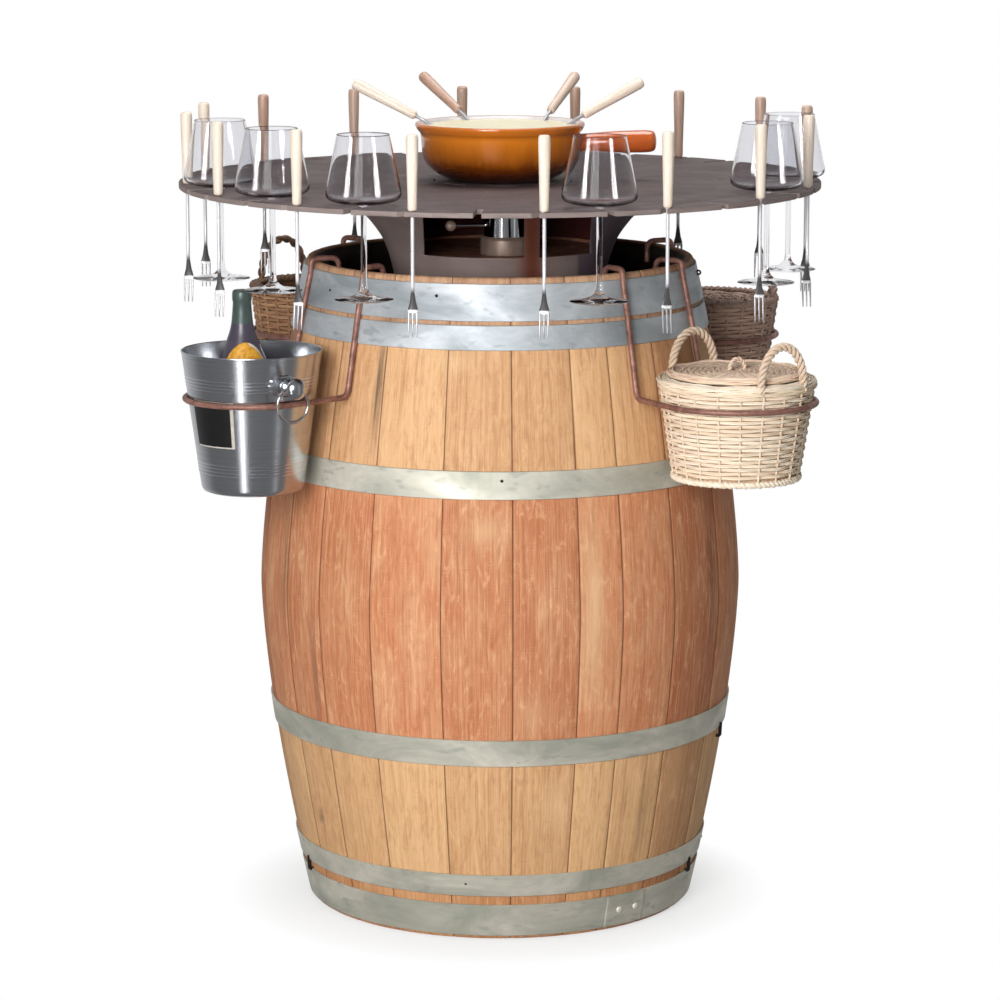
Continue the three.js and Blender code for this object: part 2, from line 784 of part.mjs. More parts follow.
function addHanger(name, azimuth, drop, radius, standoff) {
  const centre = ringPlace(azimuth, drop, radius, standoff);
  const z = centre.z;
  const reach = Math.hypot(centre.x, centre.y);
  const arcSteps = 16;
  const legRadius = (height) => hoopRadius(height) + hoopThickness + gap + hangerRodRadius;
  const legFoot = around(legRadius(z), hangerLegSpread, z);
  const front = new THREE.Vector3(0, -reach, z);
  const toFoot = Math.hypot(legFoot.x - front.x, legFoot.y - front.y);
  const bearing = Math.atan2(legFoot.x - front.x, -(legFoot.y - front.y)) / degree;
  const ringRadius = (radius + gap + hangerRodRadius) / Math.cos((2 * Math.PI) / (3 * arcSteps));
  const tangent = bearing - Math.acos(ringRadius / toFoot) / degree;
  const rimTop = barrelHeight + hangerHookRise + hangerRodRadius;
  const hookRadius = staveRadius(barrelHeight) - staveThickness - hangerHookRise - hangerRodRadius;
  const levels = [upperHoopLow, ...rowHeights.filter((row) => row > upperHoopLow && row < barrelHeight),
    barrelHeight - chimeHoopReveal];
  const leg = (side) => [
    around(legRadius(z), side * hangerLegSpread, z),
    ...levels.map((height) => around(legRadius(height), side * hangerLegSpread, height)),
    around(legRadius(barrelHeight - chimeHoopReveal), side * hangerLegSpread, rimTop),
    around(hookRadius, side * hangerLegSpread, rimTop),
    around(hookRadius, side * hangerLegSpread, barrelHeight - hangerHookDepth),
  ];
  const arc = Array.from({ length: arcSteps + 1 }, (_, i) => {
    const turn = THREE.MathUtils.lerp(tangent, -tangent, i / arcSteps);
    return around(ringRadius, turn, 0, front);
  });
  const bendSteps = 2;
  const right = softened([...leg(1).reverse(), arc[0]], hangerBend, bendSteps);
  const left = softened([arc[arcSteps], ...leg(-1)], hangerBend, bendSteps);
  const sides = 6;
  const rod = tube([...right, ...arc.slice(1, -1), ...left], hangerRodRadius, sides);
  addPiece(name, rod.rotateZ(azimuth * degree), rustyRod);
}

// The bucket hangs in its ring by its taper.
function bucketRadius(height) {
  return THREE.MathUtils.lerp(bucketBaseRadius, bucketRimRadius, height / bucketHeight);
}
const bucketGripRadius = bucketRadius(bucketHeight - bucketAboveRing);
const bucketPlace = ringPlace(bucketAzimuth, frontRingDrop, bucketGripRadius, bucketStandoff);
const bucketFoot = bucketPlace.clone().setZ(bucketPlace.z + bucketAboveRing - bucketHeight);

// A turned knob with an eye for the ring, along -Y from the bucket's wall
function knob() {
  const sides = 8;
  const wall = bucketRadius(bucketHeight - bucketAboveRing + knobRise);
  const root = wall - bucketWall / 2;
  const stem = turned([
    [0, root], [knobBaseRadius, root], [knobBaseRadius, wall + knobBaseThickness],
    [knobNeckRadius, wall + knobBaseThickness], [knobNeckRadius, wall + knobBallReach],
    [0, wall + knobBallReach],
  ], sides).rotateX(Math.PI / 2);
  const rings = sides / 2;
  const eye = new THREE.SphereGeometry(knobEyeRadius, sides, rings).translate(0, -wall - knobEyeReach, 0);
  const ball = new THREE.SphereGeometry(knobBallRadius, sides, rings).translate(0, -wall - knobBallReach, 0);
  const holeRadius = knobEyeRadius / 2;
  const hole = new THREE.CylinderGeometry(holeRadius, holeRadius, 2 * overrun, sides)
    .rotateZ(Math.PI / 2)
    .translate(0, -wall - knobEyeReach, 0);
  return { solid: cut(joined(stem, eye, ball), hole), wall };
}

function addBucket() {
  const sides = 24;
  const bead = bucketRimRadius + bucketBeadWidth;
  const profile = [
    [0, 0], [bucketBaseRadius - bucketCorner, 0], [bucketRadius(bucketCorner), bucketCorner],
    [bucketRadius(bucketHeight - bucketBeadHeight), bucketHeight - bucketBeadHeight],
    [bead, bucketHeight - bucketBeadHeight / 2], [bead, bucketHeight],
    [bucketRimRadius - bucketWall, bucketHeight],
    [bucketRadius(bucketCorner) - bucketWall, bucketCorner], [bucketBaseRadius - bucketCorner, bucketWall],
    [0, bucketWall],
  ];
  const { solid, wall } = knob();
  const knobHeight = bucketHeight - bucketAboveRing + knobRise;
  const knobs = [knobAzimuth, knobAzimuth - 180].map((azimuth) => solid.clone()
    .rotateZ(azimuth * degree)
    .translate(0, 0, knobHeight));
  const bucket = joined(turned(profile, sides), ...knobs)
    .translate(bucketFoot.x, bucketFoot.y, bucketFoot.z);
  addPiece('bucket', bucket, bucketSteel);
  const [ringSections, ringSteps] = [6, 18];
  [['bucket_ring_front', knobAzimuth], ['bucket_ring_rear', knobAzimuth - 180]].forEach(([name, azimuth]) => {
    const place = around(wall + knobEyeReach, azimuth, knobHeight - bucketRingRadius, bucketFoot);
    const ring = new THREE.TorusGeometry(bucketRingRadius, bucketRingRodRadius, ringSections, ringSteps)
      .rotateX(Math.PI / 2)
      .rotateZ(azimuth * degree)
      .translate(place.x, place.y, place.z);
    addPiece(name, ring, chrome);
  });
}

const bottleShares = [
  [0.9, 0], [1, 0.03], [1, 0.56], [0.93, 0.63], [0.6, 0.74],
];

function addBottle() {
  const sides = 20;
  const lipHeight = bottleLipRadius;
  const neckFoot = bottleNeckShare * bottleHeight;
  const profile = [
    [0, 0], ...bottleShares.map(([radius, height]) => [radius * bottleRadius, height * bottleHeight]),
    [bottleNeckRadius + gap, neckFoot], [bottleNeckRadius, bottleHeight - lipHeight],
    [bottleLipRadius, bottleHeight - lipHeight], [bottleLipRadius, bottleHeight - gap], [0, bottleHeight],
  ];
  const place = around(bottleOffset, bottleAzimuth, bucketWall + gap, bucketFoot);
  addPiece('bottle', turned(profile, sides).translate(place.x, place.y, place.z), bottleGlass);
}

// Three wicker baskets, each held by its hanger's ring
const baskets = [
  {
    name: 'basket_front',
    azimuth: 49.7,
    drop: frontRingDrop,
    height: frontBasketHeight,
    aboveRing: frontBasketAboveRing,
    handleAzimuth: 34.3,
    handleWidth: frontHandleWidth,
    handleRise: frontHandleRise,
    finish: paleWillow,
  },
  {
    name: 'basket_rear_right',
    azimuth: 131.9,
    drop: rearRingDrop,
    height: rearRightBasketHeight,
    aboveRing: rearRightBasketAboveRing,
    handleAzimuth: 90,
    handleWidth: rearRightHandleWidth,
    handleRise: rearRightHandleRise,
    finish: darkWillow,
  },
  {
    name: 'basket_rear_left',
    azimuth: -139.4,
    drop: rearRingDrop,
    height: rearLeftBasketHeight,
    aboveRing: rearLeftBasketAboveRing,
    handleAzimuth: -139.4,
    handleWidth: rearLeftHandleWidth,
    handleRise: rearLeftHandleRise,
    finish: darkWillow,
  },
];

function basketRadius(basket, height) {
  return THREE.MathUtils.lerp(basketBaseRadius, basketRimRadius, height / basket.height);
}

function basketGripRadius(basket) {
  return basketRadius(basket, basket.height - basket.aboveRing);
}

function basketFoot(basket) {
  const ring = ringPlace(basket.azimuth, basket.drop, basketGripRadius(basket), basketStandoff);
  return ring.setZ(ring.z + basket.aboveRing - basket.height);
}

// An upright loop of rod: half an ellipse over two short legs, in the XZ plane
function loop(width, rise, leg, radius) {
  const steps = 8;
  const points = [new THREE.Vector3(width / 2, 0, -leg)];
  for (let i = 0; i <= steps; i += 1) {
    const turn = (Math.PI * i) / steps;
    points.push(new THREE.Vector3((width / 2) * Math.cos(turn), 0, (rise - radius) * Math.sin(turn)));
  }
  points.push(new THREE.Vector3(-width / 2, 0, -leg));
  const sides = 6;
  return tube(points, radius, sides);
}

function addBasket(basket) {
  const sides = 20;
  const { name, height, handleAzimuth, handleWidth, handleRise } = basket;
  const borderInside = basketRimRadius - basketBorder;
  const wallTop = height - basketBorderHeight;
  const profile = [
    [0, 0], [basketBaseRadius, 0], [basketRimRadius, height], [borderInside, height],
    [borderInside, wallTop], [basketRadius(basket, wallTop - basketWall) - basketWall, wallTop - basketWall],
    [basketBaseRadius - basketWall, basketWall], [0, basketWall],
  ];
  const spread = handleWidth / 2 - basketHandleRodRadius;
  const centreLine = Math.sqrt((basketRimRadius - basketHandleRodRadius) ** 2 - spread ** 2);
  const handles = [handleAzimuth, handleAzimuth + 180].map((azimuth) => {
    const place = around(centreLine, azimuth, height);
    return loop(2 * spread, handleRise, basketBorderHeight, basketHandleRodRadius)
      .rotateZ(azimuth * degree)
      .translate(place.x, place.y, place.z);
  });
  const foot = basketFoot(basket);
  const solid = joined(turned(profile, sides), ...handles).translate(foot.x, foot.y, foot.z);
  addPiece(name, solid, basket.finish);
}

function addLid(basket) {
  const sides = 20;
  const dome = lidThickness / 3;
  const profile = [[0, 0], [lidRadius, 0], [lidRadius, lidThickness - dome], [0, lidThickness]];
  const grip = loop(lidLoopWidth, lidLoopRise, dome, lidLoopRodRadius)
    .rotateZ(basket.handleAzimuth * degree)
    .translate(0, 0, lidThickness);
  const foot = basketFoot(basket);
  const lid = joined(turned(profile, sides), grip)
    .translate(foot.x, foot.y, foot.z + basket.height + gap);
  addPiece('basket_lid', lid, basket.finish);
}

addStaves();
addHoops();
addHeadAndPedestal();
addPlate();
addStand();
addTrayAndBurner();
addPan();
addFondue();
addForks();
addGlasses();
addHanger('hanger_bucket', bucketAzimuth, frontRingDrop, bucketGripRadius, bucketStandoff);
for (const basket of baskets) {
  addHanger(`hanger_${basket.name}`, basket.azimuth, basket.drop, basketGripRadius(basket), basketStandoff);
  addBasket(basket);
}
addLid(baskets[0]);
addBucket();
addBottle();

export default object;
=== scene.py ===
"""Dresses the barrel bar: an open oak barrel with a steel fondue table, glasses, a bucket and baskets.

Metres, +Z up, front towards -Y. Azimuths are in degrees: 0 is the front, and 90 is +X.
"""

import math

import bmesh
import bpy
import numpy as np
from bpy.props import FloatProperty, FloatVectorProperty, PointerProperty
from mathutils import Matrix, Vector


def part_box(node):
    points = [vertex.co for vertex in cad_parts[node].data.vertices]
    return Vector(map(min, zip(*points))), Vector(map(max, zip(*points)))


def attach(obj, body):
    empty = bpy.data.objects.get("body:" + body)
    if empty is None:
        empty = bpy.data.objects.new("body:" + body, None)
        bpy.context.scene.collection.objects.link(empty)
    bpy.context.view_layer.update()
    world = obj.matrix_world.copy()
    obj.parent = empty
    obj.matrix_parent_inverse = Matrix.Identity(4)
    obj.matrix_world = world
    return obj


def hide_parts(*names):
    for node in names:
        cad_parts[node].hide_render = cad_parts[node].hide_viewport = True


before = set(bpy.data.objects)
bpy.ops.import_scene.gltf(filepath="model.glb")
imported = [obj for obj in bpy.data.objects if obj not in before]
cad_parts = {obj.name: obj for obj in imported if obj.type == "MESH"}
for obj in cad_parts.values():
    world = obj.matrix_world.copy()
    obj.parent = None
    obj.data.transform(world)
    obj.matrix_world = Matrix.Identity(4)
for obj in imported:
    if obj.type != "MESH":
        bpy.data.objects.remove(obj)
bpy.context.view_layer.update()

bl_info = {
    "name": "Barrel bar with a fondue table",
    "version": (1, 0, 0),
    "blender": (4, 5, 0),
    "location": "View3D > Sidebar > Barrel bar",
    "description": "Builds the barrel, the fondue table, glasses, bucket and baskets on the packed model",
    "category": "Add Mesh",
}

MM = 0.001
# Pieces that touch keep this gap
GAP = 0.3 * MM
# Heights of the barrel's rim and of the table plate's two faces
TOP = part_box("staves_front")[1].z
PLATE_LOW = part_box("table_plate")[0].z
PLATE_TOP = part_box("table_plate")[1].z
# The plate has this many slots for forks and, halfway between them, as many for glasses
PLACES = 16
FIRST_FORK = 7.5
STEP = 360 / PLACES
FORK_REACH = 0.450
GLASS_REACH = 0.415
# Each hanger has one leg at this many degrees on either side of its azimuth
LEG_SPREAD = 13.5


def linear(red, green, blue):
    """An 8-bit sRGB colour as linear values."""
    share = np.array([red, green, blue]) / 255
    return tuple(float(x) for x in np.where(share <= 0.04045, share / 12.92, ((share + 0.055) / 1.055) ** 2.4))


def length(name, text, metres):
    """A size that the user may change, in metres."""
    return FloatProperty(name=name, description=text, default=metres, min=0, unit="LENGTH", subtype="DISTANCE")


def tint(name, text, red, green, blue):
    """A colour that the user may change, from its 8-bit sRGB values."""
    return FloatVectorProperty(name=name, description=text, default=linear(red, green, blue), size=3, min=0,
                               max=1, subtype="COLOR")


class BarrelSettings(bpy.types.PropertyGroup):
    belly: length("Belly radius", "Outer radius of the staves at half height", 0.35)
    end: length("End radius", "Outer radius of the staves at the top and foot", 0.2788)
    wall: length("Stave thickness", "Thickness of the staves", 0.025)
    seam: length("Seam depth", "Depth of the groove between two staves", 0.0008)
    hoop: length("Hoop thickness", "Thickness of the hoop iron", 0.0024)
    foot_wood: tint("Foot wood", "Oak below the lower hoop", 205, 148, 100)
    lower_wood: tint("Lower wood", "Oak between the lower hoops", 226, 182, 132)
    middle_wood: tint("Middle wood", "Oak round the belly", 208, 138, 98)
    upper_wood: tint("Upper wood", "Oak between the upper hoops", 224, 178, 130)
    rim_wood: tint("Rim wood", "Oak at the rim", 196, 158, 128)
    zinc: tint("Zinc", "Light patches of the galvanised hoops", 220, 216, 202)
    zinc_shade: tint("Dull zinc", "Dull patches of the galvanised hoops", 172, 173, 160)


class TableSettings(bpy.types.PropertyGroup):
    edge: length("Edge rounding", "Rounding of the table plate's edges", 0.0008)
    wall: length("Stand wall", "Thickness of the stand's sheet", 0.003)
    steel: tint("Plate steel", "Dark steel of the table plate", 92, 78, 77)
    # The lighter edge colour: light marks on the plate, and the painted highlight on its sideways faces
    rim: tint("Plate edge", "Bare steel at the plate's edge", 142, 128, 124)
    leg: tint("Stand leg", "Red-brown steel of the leg between the stand's windows", 118, 62, 44)
    chrome: tint("Chrome", "Burner and trim", 226, 227, 230)


class FondueSettings(bpy.types.PropertyGroup):
    glaze: tint("Glaze", "Orange glaze near the pan's rim", 208, 118, 24)
    glaze_foot: tint("Glaze at the foot", "Dark glaze at the pan's foot", 66, 20, 8)
    cheese: tint("Fondue", "Melted cheese", 252, 244, 212)
    pale_handle: tint("Pale handle", "Front fork handles", 247, 234, 219)
    brown_handle: tint("Brown handle", "Rear fork handles", 198, 162, 142)
    rod: length("Fork rod radius", "Radius of the forks' steel rods", 0.0025)


class HangingSettings(bpy.types.PropertyGroup):
    rod: length("Hanger rod radius", "Radius of the hangers' rod", 0.004)
    rust: tint("Rusty rod", "Hanger rod", 170, 124, 110)
    bucket: tint("Bucket steel", "Brushed steel of the bucket", 196, 198, 202)
    pale: tint("Pale willow", "Front basket", 252, 242, 224)
    tan: tint("Tan willow", "Basket at the rear left", 206, 164, 122)
    brown: tint("Brown willow", "Basket at the rear right", 222, 190, 170)


class StageSettings(bpy.types.PropertyGroup):
    lens: FloatProperty(name="Lens", description="Focal length in millimetres", default=136.46, min=1, unit="CAMERA")
    mirror: FloatProperty(name="Mirror", description="How bright the room in front is in a mirror", default=0.2, min=0)
    stripes: FloatProperty(name="Stripes", description="How bright the upright lights are in clear glass",
                           default=150, min=0)
    ambient: FloatProperty(name="Ambient", description="Strength of the even light", default=0.1, min=0)


# Shapes

def unit(vectors):
    """Each vector divided by its own length."""
    return vectors / np.maximum(np.linalg.norm(vectors, axis=-1, keepdims=True), 1e-12)


def around(radius, azimuth, z, centre=(0, 0)):
    """Points at a radius and an azimuth about an upright line: (cx + r sin a, cy - r cos a, z)."""
    turn = np.radians(azimuth)
    x = centre[0] + radius * np.sin(turn)
    y = centre[1] - radius * np.cos(turn)
    return np.stack(np.broadcast_arrays(x, y, z), -1).astype(float)


def smooth(share):
    """Smooth step from 0 to 1: 3 s^2 - 2 s^3."""
    share = np.clip(share, 0, 1)
    return share * share * (3 - 2 * share)


def steps_round(count, whole=360):
    """Even steps round a full turn, in degrees unless the whole turn is given in radians."""
    return np.arange(count) * whole / count


def upright_ring(middle, radius, out, steps):
    """Points of an upright ring: middle + radius * (cos t out + sin t up)."""
    t = steps_round(steps, 2 * np.pi)[:, None]
    return middle + radius * (np.cos(t) * out + np.sin(t) * [0, 0, 1])


def rising(height, *points):
    """(radius, height) points in metres, from millimetres above a height."""
    return np.array(points) * MM + [0, height]


def spline(points, steps=6):
    """Catmull-Rom curve: in each span a cubic whose end slopes are half the chord between the neighbours."""
    p = np.asarray(points, float)
    p = np.vstack([2 * p[0] - p[1], p, 2 * p[-1] - p[-2]])
    a, b, c, d = (p[i:len(p) - 3 + i, None] for i in range(4))
    t = (np.arange(steps) / steps)[None, :, None]
    curve = 0.5 * (2 * b + (c - a) * t + (2 * a - 5 * b + 4 * c - d) * t**2 + (3 * b - 3 * c + d - a) * t**3)
    return np.vstack([curve.reshape(-1, p.shape[1]), p[-2:-1]])


def softened(points, reach, steps=4):
    """Turns each corner into a quadratic curve that starts and ends `reach` from it, or halfway to its neighbour."""
    p = np.asarray(points, float)
    corner, back, on = p[1:-1], p[:-2] - p[1:-1], p[2:] - p[1:-1]
    before, after = (np.linalg.norm(v, axis=1, keepdims=True) for v in (back, on))
    start = corner + back / before * np.minimum(reach, 0.48 * before)
    end = corner + on / after * np.minimum(reach, 0.48 * after)
    t = np.linspace(0, 1, steps + 1)[None, :, None]
    curve = (1 - t)**2 * start[:, None] + 2 * t * (1 - t) * corner[:, None] + t**2 * end[:, None]
    return np.vstack([p[:1], curve.reshape(-1, p.shape[1]), p[-1:]])


def frames(path, side, closed):
    """Normal N (side made square to the tangent T) and B = T x N at each point of a path.

    Without a side, N is carried along the path, turning as little as it can.
    """
    ahead, behind = (np.roll(path, -1, 0), np.roll(path, 1, 0)) if closed else (
        np.vstack([path[1:], path[-1:]]), np.vstack([path[:1], path[:-1]]))
    tangent = unit(ahead - behind)
    if side is None:
        side = np.zeros_like(path)
        last = np.cross(tangent[0], (0.3, 0.5, 0.8))
        for row, along in enumerate(tangent):
            last = unit(last - along * (last @ along))
            side[row] = last
    side = np.broadcast_to(np.asarray(side, float), path.shape)
    normal = unit(side - tangent * np.sum(side * tangent, -1, keepdims=True))
    return normal, np.cross(tangent, normal)


class Form:
    """A mesh gathered from grids of points, with a UV map in metres and numbers at each vertex."""

    def __init__(self):
        self.points, self.faces, self.uvs, self.slots, self.count = [], [], [], [], 0
        self.values = {"tone": [], "edge": [], "stain": []}

    def grid(self, points, closed=(False, True), ends=(True, True), uv=None, slot=0, shift=0, **values):
        """Adds rows and columns of points. Faces look along (columns x rows). `closed` says whether rows and
        columns run round, and `ends` puts a flat face on the first and last row."""
        points = np.asarray(points, float)
        rows, columns = points.shape[:2]
        down = np.arange(rows + closed[0]) % rows
        across = np.arange(columns + closed[1]) % columns
        corner = down[:, None] * columns + across
        if uv is None:
            spread = points[down][:, across]
            u = np.cumsum(np.linalg.norm(np.diff(spread, axis=1, prepend=spread[:, :1]), axis=-1).mean(0))
            v = np.cumsum(np.linalg.norm(np.diff(spread, axis=0, prepend=spread[:1]), axis=-1).mean(1))
            uv = np.stack(np.meshgrid(u + shift, v + shift), -1)
        picks = [(slice(0, -1), slice(0, -1)), (slice(0, -1), slice(1, None)),
                 (slice(1, None), slice(1, None)), (slice(1, None), slice(0, -1))]
        self.faces.extend((np.stack([corner[p] for p in picks], -1).reshape(-1, 4) + self.count).tolist())
        self.uvs.append(np.stack([uv[p] for p in picks], -2).reshape(-1, 2))
        made = (len(down) - 1) * (len(across) - 1)
        for used, row, turn in ((ends[0] and not closed[0], 0, -1), (ends[1] and not closed[0], rows - 1, 1)):
            if used:
                loop = np.arange(columns)[::turn]
                self.faces.append((loop + row * columns + self.count).tolist())
                self.uvs.append(uv[row, loop])
                made += 1
        self.slots.append(np.full(made, slot))
        self.points.append(points.reshape(-1, 3))
        for name, gathered in self.values.items():
            value = np.broadcast_to(np.asarray(values.get(name, 0.0), float), (rows, columns))
            gathered.append(value.reshape(-1))
        self.count += rows * columns

    def lathe(self, profile, centre=(0, 0), sides=96, ends=(True, True), whole=False, **more):
        """Turns (radius, height) points about an upright line; outside walls run upwards in the profile."""
        profile = np.asarray(profile, float)
        points = around(profile[:, :1], steps_round(sides)[None], profile[:, 1:], centre)
        self.grid(points, (whole, True), ends, **more)

    def sweep(self, path, radius, sides, side=None, closed=False, **more):
        """A round rod along a path: point + radius * (cos t N + sin t B). The radius is one number, or one for each
        point, or two for each point: along N and along B."""
        path = np.asarray(path, float)
        t = steps_round(sides, 2 * np.pi)[None, :, None]
        normal, binormal = frames(path, side, closed)
        radius = np.asarray(radius, float)
        radius = np.broadcast_to(radius[:, None] if radius.ndim == 1 else radius, (len(path), 2))
        offset = (np.cos(t) * radius[:, None, :1] * normal[:, None]
                  + np.sin(t) * radius[:, None, 1:] * binormal[:, None])
        self.grid(path[:, None] + offset, (closed, True), **more)

    def ring(self, path, rod, sides, side=(0, 0, 1), **more):
        """A round rod that closes on itself."""
        self.sweep(path, rod, sides, side, True, **more)

    def ball(self, centre, radius, sides, **more):
        """A ball: centre + radius * (sin t sin a, -sin t cos a, -cos t)."""
        tilt = np.radians(np.linspace(4, 176, sides // 2 + 1))[:, None]
        turn = steps_round(sides, 2 * np.pi)[None]
        points = np.stack(np.broadcast_arrays(
            np.sin(tilt) * np.sin(turn), -np.sin(tilt) * np.cos(turn), -np.cos(tilt)), -1)
        self.grid(points * radius + np.asarray(centre, float), **more)

    def build(self, name, body, slot, nodes, looks, crease=40):
        """Makes the piece, gives it its finishes, lets it ride on its body and stand for its CAD nodes."""
        mesh = bpy.data.meshes.new(name)
        mesh.from_pydata(np.concatenate(self.points).tolist(), [], self.faces)
        mesh.uv_layers.new(name="grain").data.foreach_set("uv", np.concatenate(self.uvs).astype(np.float32).ravel())
        mesh.polygons.foreach_set("material_index", np.concatenate(self.slots).astype(np.int32))
        for key, gathered in self.values.items():
            mesh.attributes.new(key, "FLOAT", "POINT").data.foreach_set(
                "value", np.concatenate(gathered).astype(np.float32))
        for look in looks:
            mesh.materials.append(look)
        mesh.shade_smooth()
        mesh.set_sharp_from_angle(angle=math.radians(crease))
        return settle(bpy.data.objects.new(name, mesh), body, nodes)


def settle(piece, body, nodes):
    """Links a finished piece, lets it ride on its body, and says its slot and the CAD nodes that it stands for."""
    bpy.context.scene.collection.objects.link(piece)
    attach(piece, body)
    if nodes:
        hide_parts(*nodes)
    return piece


def dressed_copy(name, node, body, look, rounding):
    """A welded copy of a CAD node with its sharp edges rounded."""
    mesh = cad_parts[node].data.copy()
    mesh.name = name
    work = bmesh.new()
    work.from_mesh(mesh)
    bmesh.ops.remove_doubles(work, verts=work.verts, dist=1e-6)
    work.to_mesh(mesh)
    work.free()
    mesh.materials.clear()
    mesh.materials.append(look)
    mesh.shade_smooth()
    mesh.set_sharp_from_angle(angle=math.radians(35))
    piece = bpy.data.objects.new(name, mesh)
    if rounding:
        bevel = piece.modifiers.new("Edges", "BEVEL")
        bevel.width, bevel.segments, bevel.limit_method = rounding, 2, "ANGLE"
        bevel.angle_limit = math.radians(40)
        bevel.harden_normals = True
    return settle(piece, body, [node])


# Finishes

class Wiring:
    """Fills one empty node tree."""

    def __init__(self, tree):
        self.tree = tree
        tree.nodes.clear()

    def add(self, kind, inputs=None, **settings):
        """Adds a node. Each input is a value, or the output that it is linked to."""
        node = self.tree.nodes.new("ShaderNode" + kind)
        for key, value in settings.items():
            setattr(node, key, value)
        for key, value in (inputs or {}).items():
            if isinstance(value, bpy.types.NodeSocket):
                self.tree.links.new(value, node.inputs[key])
            else:
                node.inputs[key].default_value = value
        return node

    def maths(self, operation, *values):
        """The output of a Math node."""
        return self.add("Math", dict(enumerate(values)), operation=operation).outputs[0]


class Look(Wiring):
    """Wires one procedural material: textures on Object or UV places, mixed into a Principled shader."""

    def __init__(self, name, place="Object", **values):
        self.material = bpy.data.materials.new(name)
        self.material.use_nodes = True
        super().__init__(self.material.node_tree)
        self.shader = self.add("BsdfPrincipled", {key.replace("_", " "): value for key, value in values.items()})
        self.output = self.add("OutputMaterial", {"Surface": self.shader.outputs[0]})
        self.place = self.add("TexCoord").outputs[place]

    def noise(self, stretch, detail=4, rough=0.55, warp=0.0, at=(0, 0, 0)):
        """Noise with `stretch` blots to the metre along each axis, moved by `at`."""
        place = self.add("Mapping", {"Vector": self.place, "Scale": stretch, "Location": at}).outputs[0]
        return self.add("TexNoise", {"Vector": place, "Scale": 1, "Detail": detail, "Roughness": rough,
                                     "Distortion": warp}).outputs[0]

    def number(self, name):
        """A number kept at each vertex."""
        return self.add("Attribute", attribute_name=name).outputs["Fac"]

    def height(self):
        """Height above the floor in metres."""
        place = self.add("TexCoord").outputs["Object"]
        return self.add("SeparateXYZ", {"Vector": place}).outputs["Z"]

    def spread(self, value, low, high, least=0.0, most=1.0):
        """Maps low..high to least..most, and holds it there."""
        return self.add("MapRange", {"Value": value, 1: low, 2: high, 3: least, 4: most}).outputs[0]

    def mix(self, share, first, second, blend="MIX"):
        """A share of the second colour over the first. Each is an output or three linear numbers."""
        first, second = (c if isinstance(c, bpy.types.NodeSocket) else (*c, 1) for c in (first, second))
        return self.add("Mix", {0: share, 6: first, 7: second}, data_type="RGBA", blend_type=blend).outputs[2]

    def layers(self, colour, *rows):
        """Lays tones over a colour in turn: a value that runs from low to high lays on least to most of its tone."""
        for value, low, high, least, most, tone, *blend in rows:
            colour = self.mix(self.spread(value, low, high, least, most), colour, tone, *blend)
        return colour

    def ramp(self, value, *stops, steps="LINEAR"):
        """Colours at places from 0 to 1."""
        node = self.add("ValToRGB", {"Fac": value})
        node.color_ramp.interpolation = steps
        elements = node.color_ramp.elements
        for element, (place, colour) in zip(list(elements), (stops[0], stops[-1])):
            element.position, element.color = place, (*colour, 1)
        for place, colour in stops[1:-1]:
            elements.new(place).color = (*colour, 1)
        return node.outputs[0]

    def finish(self, colour, height=None, depth=0.0005, strength=0.6, roughness=None):
        """Links the colour, the relief and the gloss, and gives the material."""
        self.tree.links.new(colour, self.shader.inputs["Base Color"])
        if height is not None:
            bump = self.add("Bump", {"Height": height, "Distance": depth, "Strength": strength})
            self.tree.links.new(bump.outputs[0], self.shader.inputs["Normal"])
        if roughness is not None:
            self.tree.links.new(roughness, self.shader.inputs["Roughness"])
        return self.material


def shade(colour, factor):
    """A linear colour made darker or lighter."""
    return tuple(min(1.0, float(c) * factor) for c in colour)


